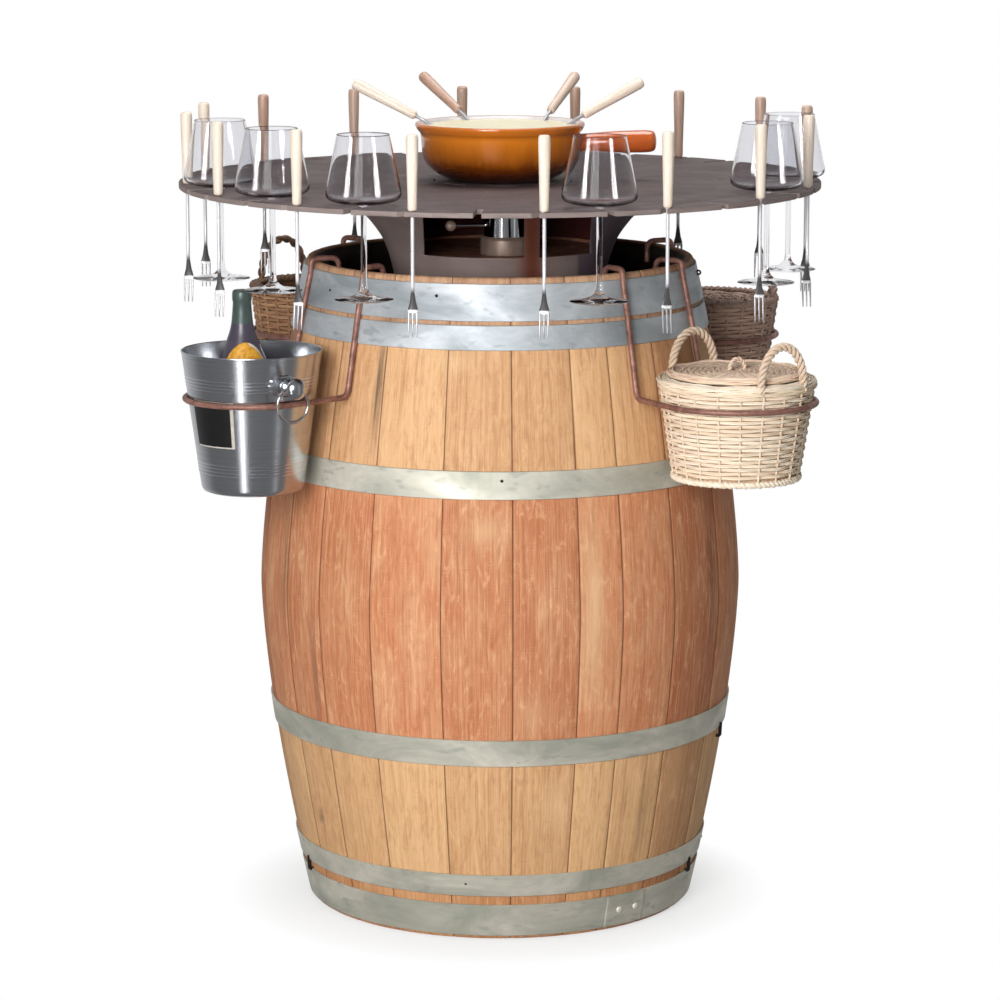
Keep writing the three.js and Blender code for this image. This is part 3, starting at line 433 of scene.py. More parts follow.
def oak_look(settings):
    """Oak in bands of colour between the hoops, with fibres along each stave, scratches, stains and dark seams."""
    look = Look("oak staves", "UV", Roughness=0.66, Specular_IOR_Level=0.2)
    bands = look.ramp(look.height(), (0, settings.foot_wood), (0.084, settings.lower_wood),
                      (0.284, settings.middle_wood), (0.663, settings.upper_wood),
                      (0.860, settings.rim_wood), steps="CONSTANT")
    fibres = look.noise((420, 8, 1), 6, 0.62, 0.9)
    fine = look.noise((2400, 34, 1), 3, 0.6)
    clouds = look.noise((22, 7, 1), 3, 0.5, 0.6, at=(3, 1, 0))
    figure = look.noise((120, 3.2, 1), 2, 0.5, 1.6, at=(7, 2, 0))
    scratch = look.noise((34, 620, 1), 2, 0.5, at=(1, 5, 0))
    flecks = look.noise((380, 260, 1), 2, 0.5, at=(4, 4, 0))
    blotch = look.noise((85, 24, 1), 4, 0.62, 1.4, at=(6, 3, 0))
    tone, stain, edge = (look.number(name) for name in ("tone", "stain", "edge"))
    rough_stain = look.maths("MULTIPLY", stain, look.spread(fibres, 0.3, 0.6, 0.55, 1.1))
    colour = look.layers(
        bands,
        (clouds, 0.42, 0.72, 0, 0.4, linear(236, 192, 148)),
        (tone, 0, 1, 0, 0.75, linear(150, 80, 50), "MULTIPLY"),
        (figure, 0.5, 0.7, 0, 0.28, linear(150, 82, 46)),
        (blotch, 0.5, 0.68, 0, 0.3, linear(158, 90, 54)),
        (blotch, 0.46, 0.3, 0, 0.4, linear(240, 196, 152)),
        (fibres, 0.52, 0.72, 0, 0.26, linear(122, 68, 42)),
        (fine, 0.52, 0.72, 0, 0.16, linear(110, 62, 40)),
        (fibres, 0.34, 0.5, 0.24, 0, linear(240, 205, 160)),
        (scratch, 0.64, 0.72, 0, 0.16, linear(104, 60, 40)),
        (scratch, 0.34, 0.28, 0, 0.14, linear(240, 210, 170)),
        (flecks, 0.735, 0.76, 0, 0.5, linear(246, 232, 208)),
        (rough_stain, 0.05, 1, 0, 1, linear(92, 76, 62)),
        (stain, 0, -1, 0, 0.65, linear(238, 204, 160)),
        # Painted shade along the seams between the staves
        (edge, 0, 1, 0, 0.85, linear(88, 46, 28)),
        # The inside wall turns near black from a few millimetres below the rim
        (edge, 1.1, 2, 0, 1, linear(26, 19, 15)))
    relief = look.maths("ADD", look.maths("MULTIPLY", fibres, 0.6), look.maths("MULTIPLY", fine, 0.4))
    return look.finish(colour, relief, 0.0006, 0.5)


def metal_look(name, light, dark, stretch, roughness, metallic, relief=0.2, spots=None):
    """Metal that clouds between two tones, in its colour and its gloss. The number "tone" blackens it from -0.2
    down and lightens it from 0.2 up."""
    look = Look(name, Metallic=metallic)
    clouds = look.noise(stretch, 5, 0.6, 0.8)
    fine = look.noise(tuple(9 * x for x in stretch), 3, 0.6, at=(2, 2, 2))
    tone = look.number("tone")
    rows = [(clouds, 0.34, 0.66, 0, 1, light), (fine, 0.35, 0.75, 0, 0.3, dark)]
    if spots:
        marks = look.noise(tuple(5 * x for x in stretch), 2, 0.5, at=(5, 1, 3))
        rows.append((marks, 0.62, 0.7, 0, 0.5, spots))
    colour = look.layers(dark, *rows, (tone, -0.2, -1, 0, 1, linear(34, 30, 28)),
                         (tone, 0.2, 1, 0, 1, shade(light, 1.25)))
    gloss = look.spread(clouds, 0.3, 0.7, roughness[1], roughness[0])
    return look.finish(colour, fine, 0.0003, relief, gloss)


def willow_look(name, base, second, dark):
    """Willow rods: a tone from rod to rod, patches and streaks along each, and darker where "edge" says so."""
    look = Look(name, "UV", Roughness=0.6)
    along = look.noise((900, 55, 1), 3, 0.6)
    patches = look.noise((40, 28, 1), 2, 0.5, at=(2, 7, 0))
    colour = look.layers(base, (look.number("tone"), 0, 1, 0, 1, second), (patches, 0.5, 0.72, 0, 0.6, second),
                         (along, 0.5, 0.72, 0, 0.45, dark), (look.number("edge"), 0, 1, 0, 1, dark))
    return look.finish(colour, along, 0.0004, 0.5)


def handle_look(settings):
    """Turned wood, from pale to brown by each fork's tone, with a fine grain along it."""
    look = Look("fork wood", "UV", Roughness=0.45, Coat_Weight=0.2, Coat_Roughness=0.25)
    grain = look.noise((500, 22, 1), 4, 0.6, 0.5)
    pale = look.mix(look.spread(grain, 0.4, 0.7, 0, 0.4), settings.pale_handle, linear(206, 168, 128))
    brown = look.mix(look.spread(grain, 0.4, 0.65, 0, 0.6), settings.brown_handle, linear(158, 120, 98))
    return look.finish(look.mix(look.number("tone"), pale, brown), grain, 0.0002, 0.3)


def glaze_look(settings):
    """Orange glaze that darkens towards the foot, with a redder handle and faint runs."""
    look = Look("pan glaze", Roughness=0.12, Coat_Weight=0.6, Coat_Roughness=0.06)
    runs = look.noise((60, 60, 12), 3, 0.5, 0.5)
    level = look.maths("ADD", look.height(), look.spread(runs, 0.3, 0.7, -0.004, 0.004))
    share = look.spread(level, PLATE_TOP, PLATE_TOP + 0.084)
    colour = look.ramp(share, (0.1, settings.glaze_foot), (0.27, linear(104, 48, 6)),
                       (0.46, linear(162, 86, 6)), (0.76, settings.glaze), (1, linear(206, 112, 34)))
    colour = look.mix(look.number("edge"), colour, linear(196, 88, 38))
    return look.finish(colour, runs, 0.0003, 0.15)


def flat_look(name, base, second, stretch, roughness, relief=0.2, depth=0.0005, **values):
    """A plain finish that wanders a little between two colours."""
    look = Look(name, Roughness=roughness, **values)
    wander = look.noise(stretch, warp=0.4)
    return look.finish(look.mix(look.spread(wander, 0.32, 0.68), base, second), wander, depth, relief)


def glass_look():
    """Clear thin glass with a faint grey cast."""
    look = Look("clear glass", Roughness=0.0, IOR=1.17, Transmission_Weight=1.0)
    wander = look.noise((30, 30, 30), 2)
    return look.finish(look.mix(wander, linear(240, 240, 242), linear(236, 236, 239)))


def label_look():
    """A plain mottled label: gold in its middle and white at its border."""
    look = Look("bottle label", "UV", Roughness=0.55)
    mottle = look.noise((160, 160, 1), 4, 0.6, 1.0)
    gold = look.mix(look.spread(mottle, 0.4, 0.62), linear(240, 182, 62), linear(206, 134, 34))
    return look.finish(look.mix(look.number("edge"), gold, linear(238, 236, 228)), mottle, 0.0001, 0.2)


# Barrel

# Widths of the staves as shares of the way round, from the first seam on
STAVE_SHARES = np.array([17.7, 16.6, 15.6, 10.9, 15.4, 18.8, 14, 16, 13, 15.5, 12.5, 17,
                         14, 16, 13.5, 15, 14.5, 16.5, 13, 15, 14, 16, 13.5, 15.5])
STAVE_SETS = ("staves_front", "staves_front_right", "staves_right", "staves_rear_right",
              "staves_rear", "staves_rear_left", "staves_left", "staves_front_left")
FIRST_SEAM = -31.4
# Marks on the wood: azimuth, height, half width and half height in metres, and how dark it is, or how pale below 0
MARKS = [(-21.3, 0.367, 0.005, 0.070, 0.75), (-49.5, 0.380, 0.006, 0.110, 0.5), (22.0, 0.485, 0.013, 0.105, -0.9),
         (-32.5, 0.800, 0.006, 0.070, 0.8), (-56.1, 0.152, 0.006, 0.009, 1.0), (40.2, 0.170, 0.008, 0.065, 0.5),
         (-33.5, 0.760, 0.004, 0.060, 0.5), (-3.0, 0.600, 0.030, 0.020, -0.5), (8.0, 0.340, 0.028, 0.030, -0.4),
         (60.0, 0.520, 0.010, 0.090, 0.5), (-62.0, 0.520, 0.012, 0.100, 0.5), (120, 0.5, 0.008, 0.12, 0.6),
         (160, 0.75, 0.01, 0.06, 0.5), (-150, 0.4, 0.008, 0.1, 0.6), (-100, 0.2, 0.01, 0.06, 0.5),
         (14.0, 0.200, 0.022, 0.030, -0.5), (-12.0, 0.830, 0.030, 0.015, -0.5)]


def barrel_radius(z):
    """Outer radius of the staves: the belly less (belly - end) * |2z/height - 1| to the power 1.52."""
    settings = bpy.context.scene.bar_barrel
    return settings.belly - (settings.belly - settings.end) * np.abs(2 * np.asarray(z) / TOP - 1)**1.52


def stave_form(start, width, tone, offset):
    """One stave: a band of the bulged wall from start to start + width, lower by the seam's depth at its sides,
    with rounded ends and a bevel inside its top; the columns run round its section and the rows up its height."""
    settings = bpy.context.scene.bar_barrel
    soft = 4 * MM  # how far down its ends are rounded
    z = np.concatenate([[0, 0.3 * soft, soft], np.linspace(0.012, TOP - 0.016, 88),
                        [TOP - 0.010, TOP - soft, TOP - 0.3 * soft, TOP]])
    rounding = np.interp(np.minimum(z, TOP - z), [0, 0.3 * soft, soft], [0.0028, 0.0008, 0])
    across = np.array([0, 0.012, 0.03, 0.055, 0.1, 0.2, 0.35, 0.5, 0.65, 0.8, 0.9, 0.945, 0.97, 0.988, 1])
    slack = math.degrees(GAP / 2 / settings.end)
    azimuth = start + slack + across * (width - 2 * slack)
    side = np.minimum(across, 1 - across)
    crown = 0.5 * MM * (2 * across - 1)**2
    dip = settings.seam * (1 - smooth(side / 0.045)) + crown
    radius = barrel_radius(z)[:, None]
    outer = around(radius - dip - rounding[:, None], azimuth[None], z[:, None])
    inside = azimuth[::-3]
    bevel = np.interp(z, [TOP - 0.016, TOP], [0, 0.015])
    inner = around(radius - settings.wall + (rounding + bevel)[:, None], inside[None], z[:, None])
    points = np.concatenate([outer, inner], 1)
    # Width of the painted shade along each seam, in metres
    seam_shade_width = 0.0013
    metres = side * math.radians(width) * settings.belly
    edge = np.broadcast_to(np.clip(1 - metres / seam_shade_width, 0, 1), outer.shape[:2])
    # The inside wall turns near black from a few millimetres below the rim
    dark_inside = np.broadcast_to(np.interp(TOP - z, [0, 0.0012, 0.004], [0, 0.6, 2])[:, None], inner.shape[:2])
    stain = np.zeros(points.shape[:2])
    places = np.concatenate([azimuth, inside])[None]
    for middle, level, half, tall, strength in MARKS:
        away = np.radians(places - middle + 180) % (2 * np.pi) - np.pi
        stain += strength * np.exp(-(away * radius / half)**2 - ((z[:, None] - level) / tall)**2)
    u = np.radians(np.concatenate([azimuth, inside, azimuth[:1]])) * settings.belly + offset
    uv = np.stack(np.meshgrid(u, z + offset), -1)
    form = Form()
    form.grid(points, uv=uv, tone=tone, edge=np.concatenate([edge, dark_inside], 1), stain=stain)
    return form


def add_staves(settings):
    """The staves side by side round the barrel, and plain finishes for what stands inside it."""
    look = oak_look(settings)
    random = np.random.default_rng(11)
    widths = 360 * STAVE_SHARES / STAVE_SHARES.sum()
    starts = FIRST_SEAM + np.cumsum(widths) - widths
    tones = random.uniform(0, 0.5, len(widths))
    offsets = random.uniform(0, 9, len(widths))
    for i, (start, width) in enumerate(zip(starts, widths)):
        form = stave_form(start, width, tones[i], offsets[i])
        form.build(f"stave_{i + 1:02d}", "barrel", "barrel_oak", [STAVE_SETS[i // 3]], [look], 60)
    for node, name, base, second in (("bottom_head", "head oak", (96, 66, 46), (60, 42, 32)),
                                     ("table_pedestal", "black board", (26, 21, 19), (15, 13, 12))):
        look = flat_look(name, linear(*base), linear(*second), (9, 160, 40), 0.75)
        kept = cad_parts[node]
        kept.data.materials.clear()
        kept.data.materials.append(look)


def add_hoops(settings):
    """Each hoop is a thin band on the bulge with rounded edges, a lap with two rivets, and a few dark nails."""
    warm, cool = (metal_look(name, light, dark, (7, 7, 16), (0.52, 0.66), 0.45, 0.12, spots=linear(*spots))
                  for name, light, dark, spots in (
                      ("galvanised iron", settings.zinc, settings.zinc_shade, (160, 162, 154)),
                      ("blue galvanised iron", linear(208, 213, 217), linear(160, 168, 173), (146, 154, 160))))
    random = np.random.default_rng(5)
    laps = {"hoop_foot": 31.5, "hoop_lower": -150, "hoop_lower_bilge": 170, "hoop_upper_bilge": -165,
            "hoop_upper": 150, "hoop_chime": -172}
    clips = {"hoop_lower_bilge": (74, 112, -95), "hoop_lower": (68, -70, 150)}
    eyelets = {"hoop_chime": (81, -120)}
    legs = [azimuth + side for azimuth, *_ in HELD.values() for side in (-LEG_SPREAD, LEG_SPREAD)]
    for node, lap in laps.items():
        low, high = (corner.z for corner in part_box(node))
        form = Form()
        z = np.concatenate([[low, low + 0.0006], np.linspace(low + 0.002, high - 0.002, 7), [high - 0.0006, high]])
        lift = np.full(len(z), settings.hoop + GAP)
        lift[[0, -1]] -= 0.0008
        outer = np.stack([barrel_radius(z) + lift, z], -1)
        inner = np.stack([barrel_radius(z[::-1]) + GAP, z[::-1]], -1)
        form.lathe(np.vstack([outer, inner]), sides=240, whole=True)
        azimuth = lap + np.concatenate([[0, 0.12], np.linspace(0.3, 13.7, 14), [13.88, 14]])
        raised = np.interp(azimuth - lap, [0, 0.12, 0.3, 13.7, 13.88, 14], [-0.3, 0.9, 1.3, 1.3, 0.9, -0.3]) * MM
        rows = z[1:-1]
        cover = around(barrel_radius(rows)[:, None] + settings.hoop + GAP + raised[None], azimuth[None], rows[:, None])
        form.grid(cover, (False, False), (False, False))
        middle, radius = (low + high) / 2, float(barrel_radius((low + high) / 2)) + settings.hoop + GAP
        for turn in (4.5, 10.5):
            dome(form, lap + turn, middle + 0.001, radius + 0.0012, 0.0052, 0.0026, tone=1)
        for turn in random.uniform(0, 360, 5):
            level = random.uniform(low + 0.008, high - 0.008)
            if min(abs((turn - leg + 180) % 360 - 180) for leg in legs) > 6:  # none under a hanger's leg
                dome(form, turn, level, radius, 0.0022, 0.0009, tone=-1)
        for turn in clips.get(node, ()):
            clip(form, turn, low)
        for turn in eyelets.get(node, ()):
            eyelet(form, turn, low + 0.038)
        look = cool if node in ("hoop_chime", "hoop_upper") else warm
        form.build(f"band_{node[5:]}", "barrel", "galvanised_hoop", [node], [look])


def clip(form, turn, hoop_low):
    """A bent black pin that holds a hoop's lower edge up: a rod out of the wood and up over the iron."""
    level = hoop_low - 0.006
    base = float(barrel_radius(level)) + 0.004
    path = softened([around(base - 0.006, turn, level - 0.008), around(base, turn, level - 0.008),
                     around(base + 0.001, turn, level + 0.012)], 0.003)
    form.sweep(path, 0.0026, 8, tone=-1)


def eyelet(form, turn, level):
    """A small black ring that stands out from the wall."""
    place = around(float(barrel_radius(level)) + 0.0052, turn, level)
    form.ring(upright_ring(place, 0.0028, around(1, turn, 0), 24), 0.0013, 8, around(1, turn + 90, 0), tone=-1)


def dome(form, azimuth, z, radius, width, rise, **more):
    """A low dome on an upright wall: rings shrink as width * cos t while they rise by rise * sin t."""
    t = np.radians(np.linspace(0, 84, 6))[:, None]
    turn = steps_round(16, 2 * np.pi)[None]
    away = radius + rise * np.sin(t) + 0 * turn
    side = width * np.cos(t) * np.cos(turn)
    lift = width * np.cos(t) * np.sin(turn)
    a = math.radians(azimuth)
    points = np.stack([away * math.sin(a) + side * math.cos(a), side * math.sin(a) - away * math.cos(a), z + lift], -1)
    form.grid(points, ends=(False, True), **more)


# Table

STAND_TOP = PLATE_LOW - GAP
STAND_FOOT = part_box("stand")[0].z
# The stand's two front windows: where their sides stand across the front, and their sill and head
WINDOWS = (-0.108, 0.034, 0.056, 0.129)
WINDOW_LOW, WINDOW_HIGH = STAND_FOOT + 0.071, STAND_TOP - 0.012


def add_table(settings):
    """The plate, its flared stand, and the dish for the burner inside the stand."""
    plate = plate_look(settings)
    dressed_copy("table_top", "table_plate", "table", plate, settings.edge)
    inside = flat_look("stand inside", linear(92, 42, 34), linear(66, 30, 26), (20, 20, 20), 0.6)
    flare = spline([[0.150, STAND_FOOT], *rising(STAND_TOP, (155, -120), (168, -79.2), (188.3, -49.2),
                                                 (206.3, -32.4), (227.9, -14.4), (245, 0))], 10)
    z = np.unique(np.concatenate([flare[:, 1], [WINDOW_LOW, WINDOW_HIGH]]))
    sheet(z, np.interp(z, flare[:, 1], flare[:, 0]), [stand_look(settings), inside], settings)
    form = Form()
    tray_low, tray_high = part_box("burner_tray")
    low, edge = tray_low.z, tray_high.x - 0.0003
    form.lathe(softened([[0.001, low], [edge, low], [edge, low + 0.007], [edge - 0.003, low + 0.007],
                         [edge - 0.004, low + 0.003], [0.001, low + 0.003]], 0.0012))
    # The tray's colours are lighter than its steel: painted light for the shade under the plate
    tray = metal_look("tray steel", linear(220, 160, 132), linear(176, 120, 98), (22, 22, 22), (0.3, 0.5), 0.2)
    form.build("tray", "table", "table_steel", ["burner_tray"], [tray])


def sheet(z, radius, looks, settings):
    """The stand: its flared outline turned round, with the faces inside each window left out, then given a wall.
    In each row the columns are shifted so that four of them run along the windows' upright sides."""
    form = Form()
    flange = [0.239, 0.225, 0.211]
    r = np.concatenate([radius, flange])
    h = np.concatenate([z, np.full(len(flange), STAND_TOP)])
    marks = [-180, -34, 10, 17, 43, 180]  # the four in the middle become the windows' sides
    even = np.unique(np.concatenate([np.arange(-180, 180, 2.0), marks[1:-1]]))
    azimuth = np.array([np.interp(even, marks, [-180, *np.degrees(np.arcsin(np.array(WINDOWS) / row)), 180])
                        for row in r])
    points = around(r[:, None], azimuth, h[:, None])
    side = points[..., 0]
    front = points[..., 1] < 0
    # stain marks the red leg; edge marks the front right for painted shade
    form.grid(points, ends=(False, False), stain=np.exp(-((side - 0.045) / 0.02)**2) * front,
              edge=(side > 0.11) * front)
    row = np.repeat(np.arange(len(r) - 1), len(even))
    column = np.tile(even, len(r) - 1)
    middle = (h[row] + h[row + 1]) / 2
    open_row = (middle > WINDOW_LOW) & (middle < WINDOW_HIGH)
    drop = np.zeros(len(row), bool)
    for start, end in ((marks[1], marks[2]), (marks[3], marks[4])):
        drop |= open_row & (column >= start) & (column < end)
    keep = ~drop
    form.faces = [face for face, kept in zip(form.faces, keep) if kept]
    form.uvs = [form.uvs[0].reshape(-1, 4, 2)[keep].reshape(-1, 2)]
    form.slots = [form.slots[0][keep]]
    piece = form.build("stand_shell", "table", "table_steel", ["stand"], looks)
    wall = piece.modifiers.new("Wall", "SOLIDIFY")
    wall.thickness, wall.offset, wall.use_even_offset, wall.material_offset = settings.wall, -1, True, 1
    bevel = piece.modifiers.new("Edges", "BEVEL")
    bevel.width, bevel.segments, bevel.limit_method, bevel.angle_limit = 0.0006, 2, "ANGLE", math.radians(50)


def plate_look(settings):
    """Dark steel that clouds a little, and lighter where a face looks sideways."""
    look = Look("plate steel", Metallic=0.1, Specular_IOR_Level=0.25)
    clouds = look.noise((14, 14, 14), 5, 0.6, 0.8)
    marks = look.noise((150, 150, 150), 2, 0.5, at=(5, 1, 3))
    colour = look.mix(look.spread(clouds, 0.34, 0.66), shade(settings.steel, 0.72), settings.steel)
    colour = look.mix(look.spread(marks, 0.62, 0.7, 0, 0.3), colour, settings.rim)
    # Painted highlight: faces that look sideways, the edge and its bevels, take the lighter edge colour
    normal = look.add("NewGeometry").outputs["Normal"]
    level = look.maths("ABSOLUTE", look.add("SeparateXYZ", {"Vector": normal}).outputs["Z"])
    colour = look.mix(look.spread(level, 0.9, 0.3), colour, settings.rim)
    return look.finish(colour, clouds, 0.0003, 0.1, look.spread(clouds, 0.3, 0.7, 0.65, 0.55))


def stand_look(settings):
    """Grey-brown steel, redder on the leg between the windows and darker on the right."""
    look = Look("stand steel", Metallic=0.1, Roughness=0.55)
    clouds = look.noise((9, 9, 6), 4, 0.55, 0.6)
    colour = look.mix(look.spread(clouds, 0.35, 0.65), linear(142, 124, 120), linear(162, 144, 138))
    colour = look.mix(look.number("stain"), colour, settings.leg)
    # Painted shade on the front right of the stand
    colour = look.mix(look.number("edge"), colour, linear(112, 98, 106))
    return look.finish(colour, clouds, 0.0003, 0.1)


def add_burner(settings):
    """A spirit burner: a dull turned base, a chrome cup in it, and an arm with a ring and a round knob."""
    look = metal_look("chrome", settings.chrome, linear(186, 188, 194), (18, 18, 6), (0.06, 0.14), 1.0, 0.04)
    centre, arm = (0.008, -0.058), -78
    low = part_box("burner")[0].z
    base = softened(rising(low, (1, 0), (36, 0), (36, 22), (33.5, 25.5), (31, 26.5)), 0.0012)
    body = softened(rising(low, (31, 26.5), (31, 80), (32.5, 81.5), (32.5, 84), (28, 84), (28, 30), (1, 30)), 0.0012)
    form = Form()
    form.lathe(base, centre, ends=(True, False), slot=1)
    form.lathe(body, centre, ends=(False, True))
    level = low + 0.042
    path = np.linspace(around(0.0295, arm, level, centre), around(0.080, arm, level, centre), 12)
    form.sweep(path, 0.0029, 16, (0, 0, 1))
    ring = np.linspace(around(0.068, arm, level, centre), around(0.071, arm, level, centre), 5)
    form.sweep(ring, 0.0045 * np.array([0.7, 1, 1, 1, 0.7]), 20, (0, 0, 1))
    # The knob is painted in the light dull metal: a painted highlight where chrome would mirror the dark room
    form.ball(path[-1], 0.0078, 24, slot=1, tone=1)
    dull = metal_look("burner base", linear(176, 154, 140), linear(140, 118, 106), (40, 40, 12), (0.35, 0.5), 0.3, 0.1)
    form.build("spirit_burner", "burner", "chrome_trim", ["burner"], [look, dull])


# Pan, fondue and forks

PAN_HEIGHT = 83 * MM


def add_pan(settings):
    """The turned pan with its round handle, and the fondue: a disc with low ripples and a rounded underside."""
    glaze = glaze_look(settings)
    lining = flat_look("pan lining", linear(226, 220, 216), linear(206, 198, 200), (40, 40, 40), 0.2, 0.1)
    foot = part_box("pan")[0].z
    base = rising(foot, (1, 1.2), (55, 1.2), (60, 0), (66, 0))
    wall = spline(rising(foot, (68, 0.8), (77, 3), (90.5, 10), (102, 19), (109.2, 29), (112.2, 41), (113.3, 54),
                         (114.2, 65)), 6)
    rim = spline(rising(foot, (115.8, 69), (118.5, 71.8), (120.8, 75.5), (122.2, 79.4), (121.4, 82.1),
                        (118.8, 82.9)), 5)
    inside = spline(rising(foot, (115, 82.4), (111.2, 80.4), (108.5, 77), (107, 72), (106.3, 63), (105.2, 46), (99, 33),
                           (84, 16.5), (68, 8.5), (40, 7.2)), 5)
    form = Form()
    form.lathe(np.vstack([base, wall, rim, inside[:1]]), sides=128, ends=(True, False))
    form.lathe(np.vstack([inside, rising(foot, (1, 7))]), sides=128, ends=(False, True), slot=1)
    reach = np.array([0, 0.012, 0.03, 0.055, 0.08, 0.096, 0.106, 0.1125, 0.1155, 0.117])
    size = np.array([13.4, 13, 14, 15.4, 16, 16.2, 15.8, 14.2, 10.5, 4]) * MM
    path = spline(np.stack([0.108 + reach, 0 * reach, foot + 0.053 + 0.02 * reach], -1), 4)
    form.sweep(path, spline(size[:, None], 4)[:, 0], 32, (0, 0, 1), edge=0.8)
    form.build("fondue_pan", "pan", "pan_glaze", ["pan"], [glaze, lining], 50)
    cheese = flat_look("melted cheese", settings.cheese, linear(244, 230, 186), (36, 36, 60), 0.3, 0.35, 0.0015,
                       Subsurface_Weight=0.15, Subsurface_Radius=(0.01, 0.008, 0.004), Subsurface_Scale=0.5)
    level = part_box("fondue")[1].z
    r = np.concatenate([np.linspace(0.0012, 0.1, 24), [0.104, 0.1070, 0.1082]])
    azimuth = steps_round(120)
    turn = np.radians(azimuth)[None]
    ripple = (np.sin(r[:, None] * 190 + 2 * turn) * 0.5 + np.sin(r[:, None] * 90 - 3 * turn + 1)) * 0.0004
    ripple = ripple * (1 - (r[:, None] / 0.109)**4) + np.where(r > 0.107, -0.0004, 0)[:, None]
    surface = around(r[:, None], azimuth[None], level - 0.0006 + ripple)[::-1]
    below = around(np.array([[0.04], [0.068], [0.084], [0.0985], [0.1045]]), azimuth[None],
                   foot + np.array([[0.0082], [0.0098], [0.0178], [0.034], [0.047]]))
    form = Form()
    form.grid(np.concatenate([below, surface]))
    form.build("melted_fondue", "pan", "fondue", ["fondue"], [cheese])


FORK_HANDLE = 102 * MM
FORK_HEAD = 60 * MM


def fork_forms(origin, along, across, reach, rod, tone, shift, dark):
    """A fork's handle and steel. The handle is turned about the line along `along` from origin; the steel runs the
    other way: a round rod, a neck that flattens, a blade with a slight bend, and three tines."""
    origin, along, across = (np.asarray(v, float) for v in (origin, along, across))
    handle = Form()
    h = np.array([0.3, 1.2, 3, 8, 20, 45, 70, 90, 97, 99.6, 101.2, 102, 102]) * MM
    r = np.array([4.8, 5.9, 6.4, 6.5, 6.6, 7.2, 7.9, 8.3, 8.25, 7.8, 6.9, 5.6, 1.6]) * MM
    h[-1] += 1e-5
    handle.sweep(origin + h[:, None] * along, r, 24, across, tone=tone, shift=shift)
    ferrule = np.array([0.5, -1.5, -2.2]) * MM
    steel = Form()
    steel.sweep(origin + ferrule[:, None] * along, np.array([3.6, 3.4, 2.6]) * MM, 16, across, tone=dark)
    flare = -(reach - FORK_HANDLE) + FORK_HEAD
    thick = np.cross(along, across)

    def bend(d):
        """The head's sideways bend: 2.6 mm * sin(1.5 pi d / 60 mm)."""
        return 0.0026 * np.sin(np.pi * np.clip(d / 0.060, -0.1, 1) * 1.5)[:, None] * thick

    d = np.array([-20, -10, -5, 0, 4, 8.5, 13.2, 18, 22.8, 25, 26.4, 27.6]) * MM
    start = np.linspace(0.004, flare + 0.024, 6)[:, None] * along
    body = np.vstack([origin + start, origin + (flare - d)[:, None] * along + bend(d)])
    wide, deep = (np.concatenate([np.full(8, rod), np.array(sizes) * MM]) for sizes in (
        [2.5, 2.6, 3.0, 3.6, 4.2, 5.6, 6.8, 7, 7, 6.6], [2.3, 2.0, 1.8, 1.6, 1.45, 1.3, 1.2, 1.1, 1.0, 0.9]))
    # The flat neck and blade are painted dark, a painted reflection, and the bend before the tines is painted light, a
    # painted highlight
    tone = np.array([dark] * 8 + [-0.5] + [-0.92] * 6 + [0.6, 1, 0.2])
    steel.sweep(body, np.stack([wide, deep], -1), 14, across, tone=tone[:, None])
    d = np.linspace(26, 60, 8) * MM
    share = (d - d[0]) / (d[-1] - d[0])
    for place, thin in ((0, 1.0), (-5.5 * MM, 1.1), (5.5 * MM, 1.1)):
        path = origin + (flare - d)[:, None] * along + bend(d) + place * across
        size = np.stack([(1.5 - 0.8 * share) * thin, 1.05 - 0.35 * share], -1) * MM
        steel.sweep(path, size, 8, across, tone=-0.62)
    return handle, steel


def add_forks(settings):
    """The forks that hang in the plate's slots, each turned a little, and the four that lean on the pan's rim."""
    wood = handle_look(settings)
    steel = metal_look("fork steel", linear(236, 235, 238), linear(216, 215, 220), (12, 12, 12), (0.25, 0.35), 0.25, 0)
    random = np.random.default_rng(3)
    places = []
    for k in range(PLACES):
        azimuth = FIRST_FORK + k * STEP
        a = math.radians((azimuth + 90) % 180 - 90) * 0.15 + random.uniform(-0.15, 0.15)
        tone = random.uniform(0.75, 1) if 97 <= azimuth <= 240 else random.uniform(0, 0.12)
        places.append((f"fork_{k + 1:02d}", around(FORK_REACH, azimuth, PLATE_TOP), (0, 0, 1),
                       (math.cos(a), math.sin(a), 0), 0.271, tone))
    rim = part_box("pan")[0].z + PAN_HEIGHT
    slope = math.radians(27)
    for name, crossing, heading, tone in (("left", -95, -99, 0.05), ("rear_left", -151, -142.9, 1.0),
                                          ("rear_right", 142, 154.8, 0.6), ("right", 99, 109.3, 0.05)):
        along = around(math.cos(slope), heading, math.sin(slope))
        start = around(0.113, crossing, rim + 0.0028 / math.cos(slope)) + 0.010 * along
        places.append((f"pan_fork_{name}", start, along, around(1, heading + 90, 0), 0.200, tone))
    for name, origin, along, across, reach, tone in places:
        dark = -0.6 if name.startswith("pan") else 0
        handle, metal = fork_forms(origin, along, across, reach, settings.rod, tone, random.uniform(0, 5), dark)
        handle.build(f"{name}_handle", name, "fork_wood", [name], [wood])
        metal.build(f"{name}_steel", name, "fork_steel", [name], [steel])


# Glasses

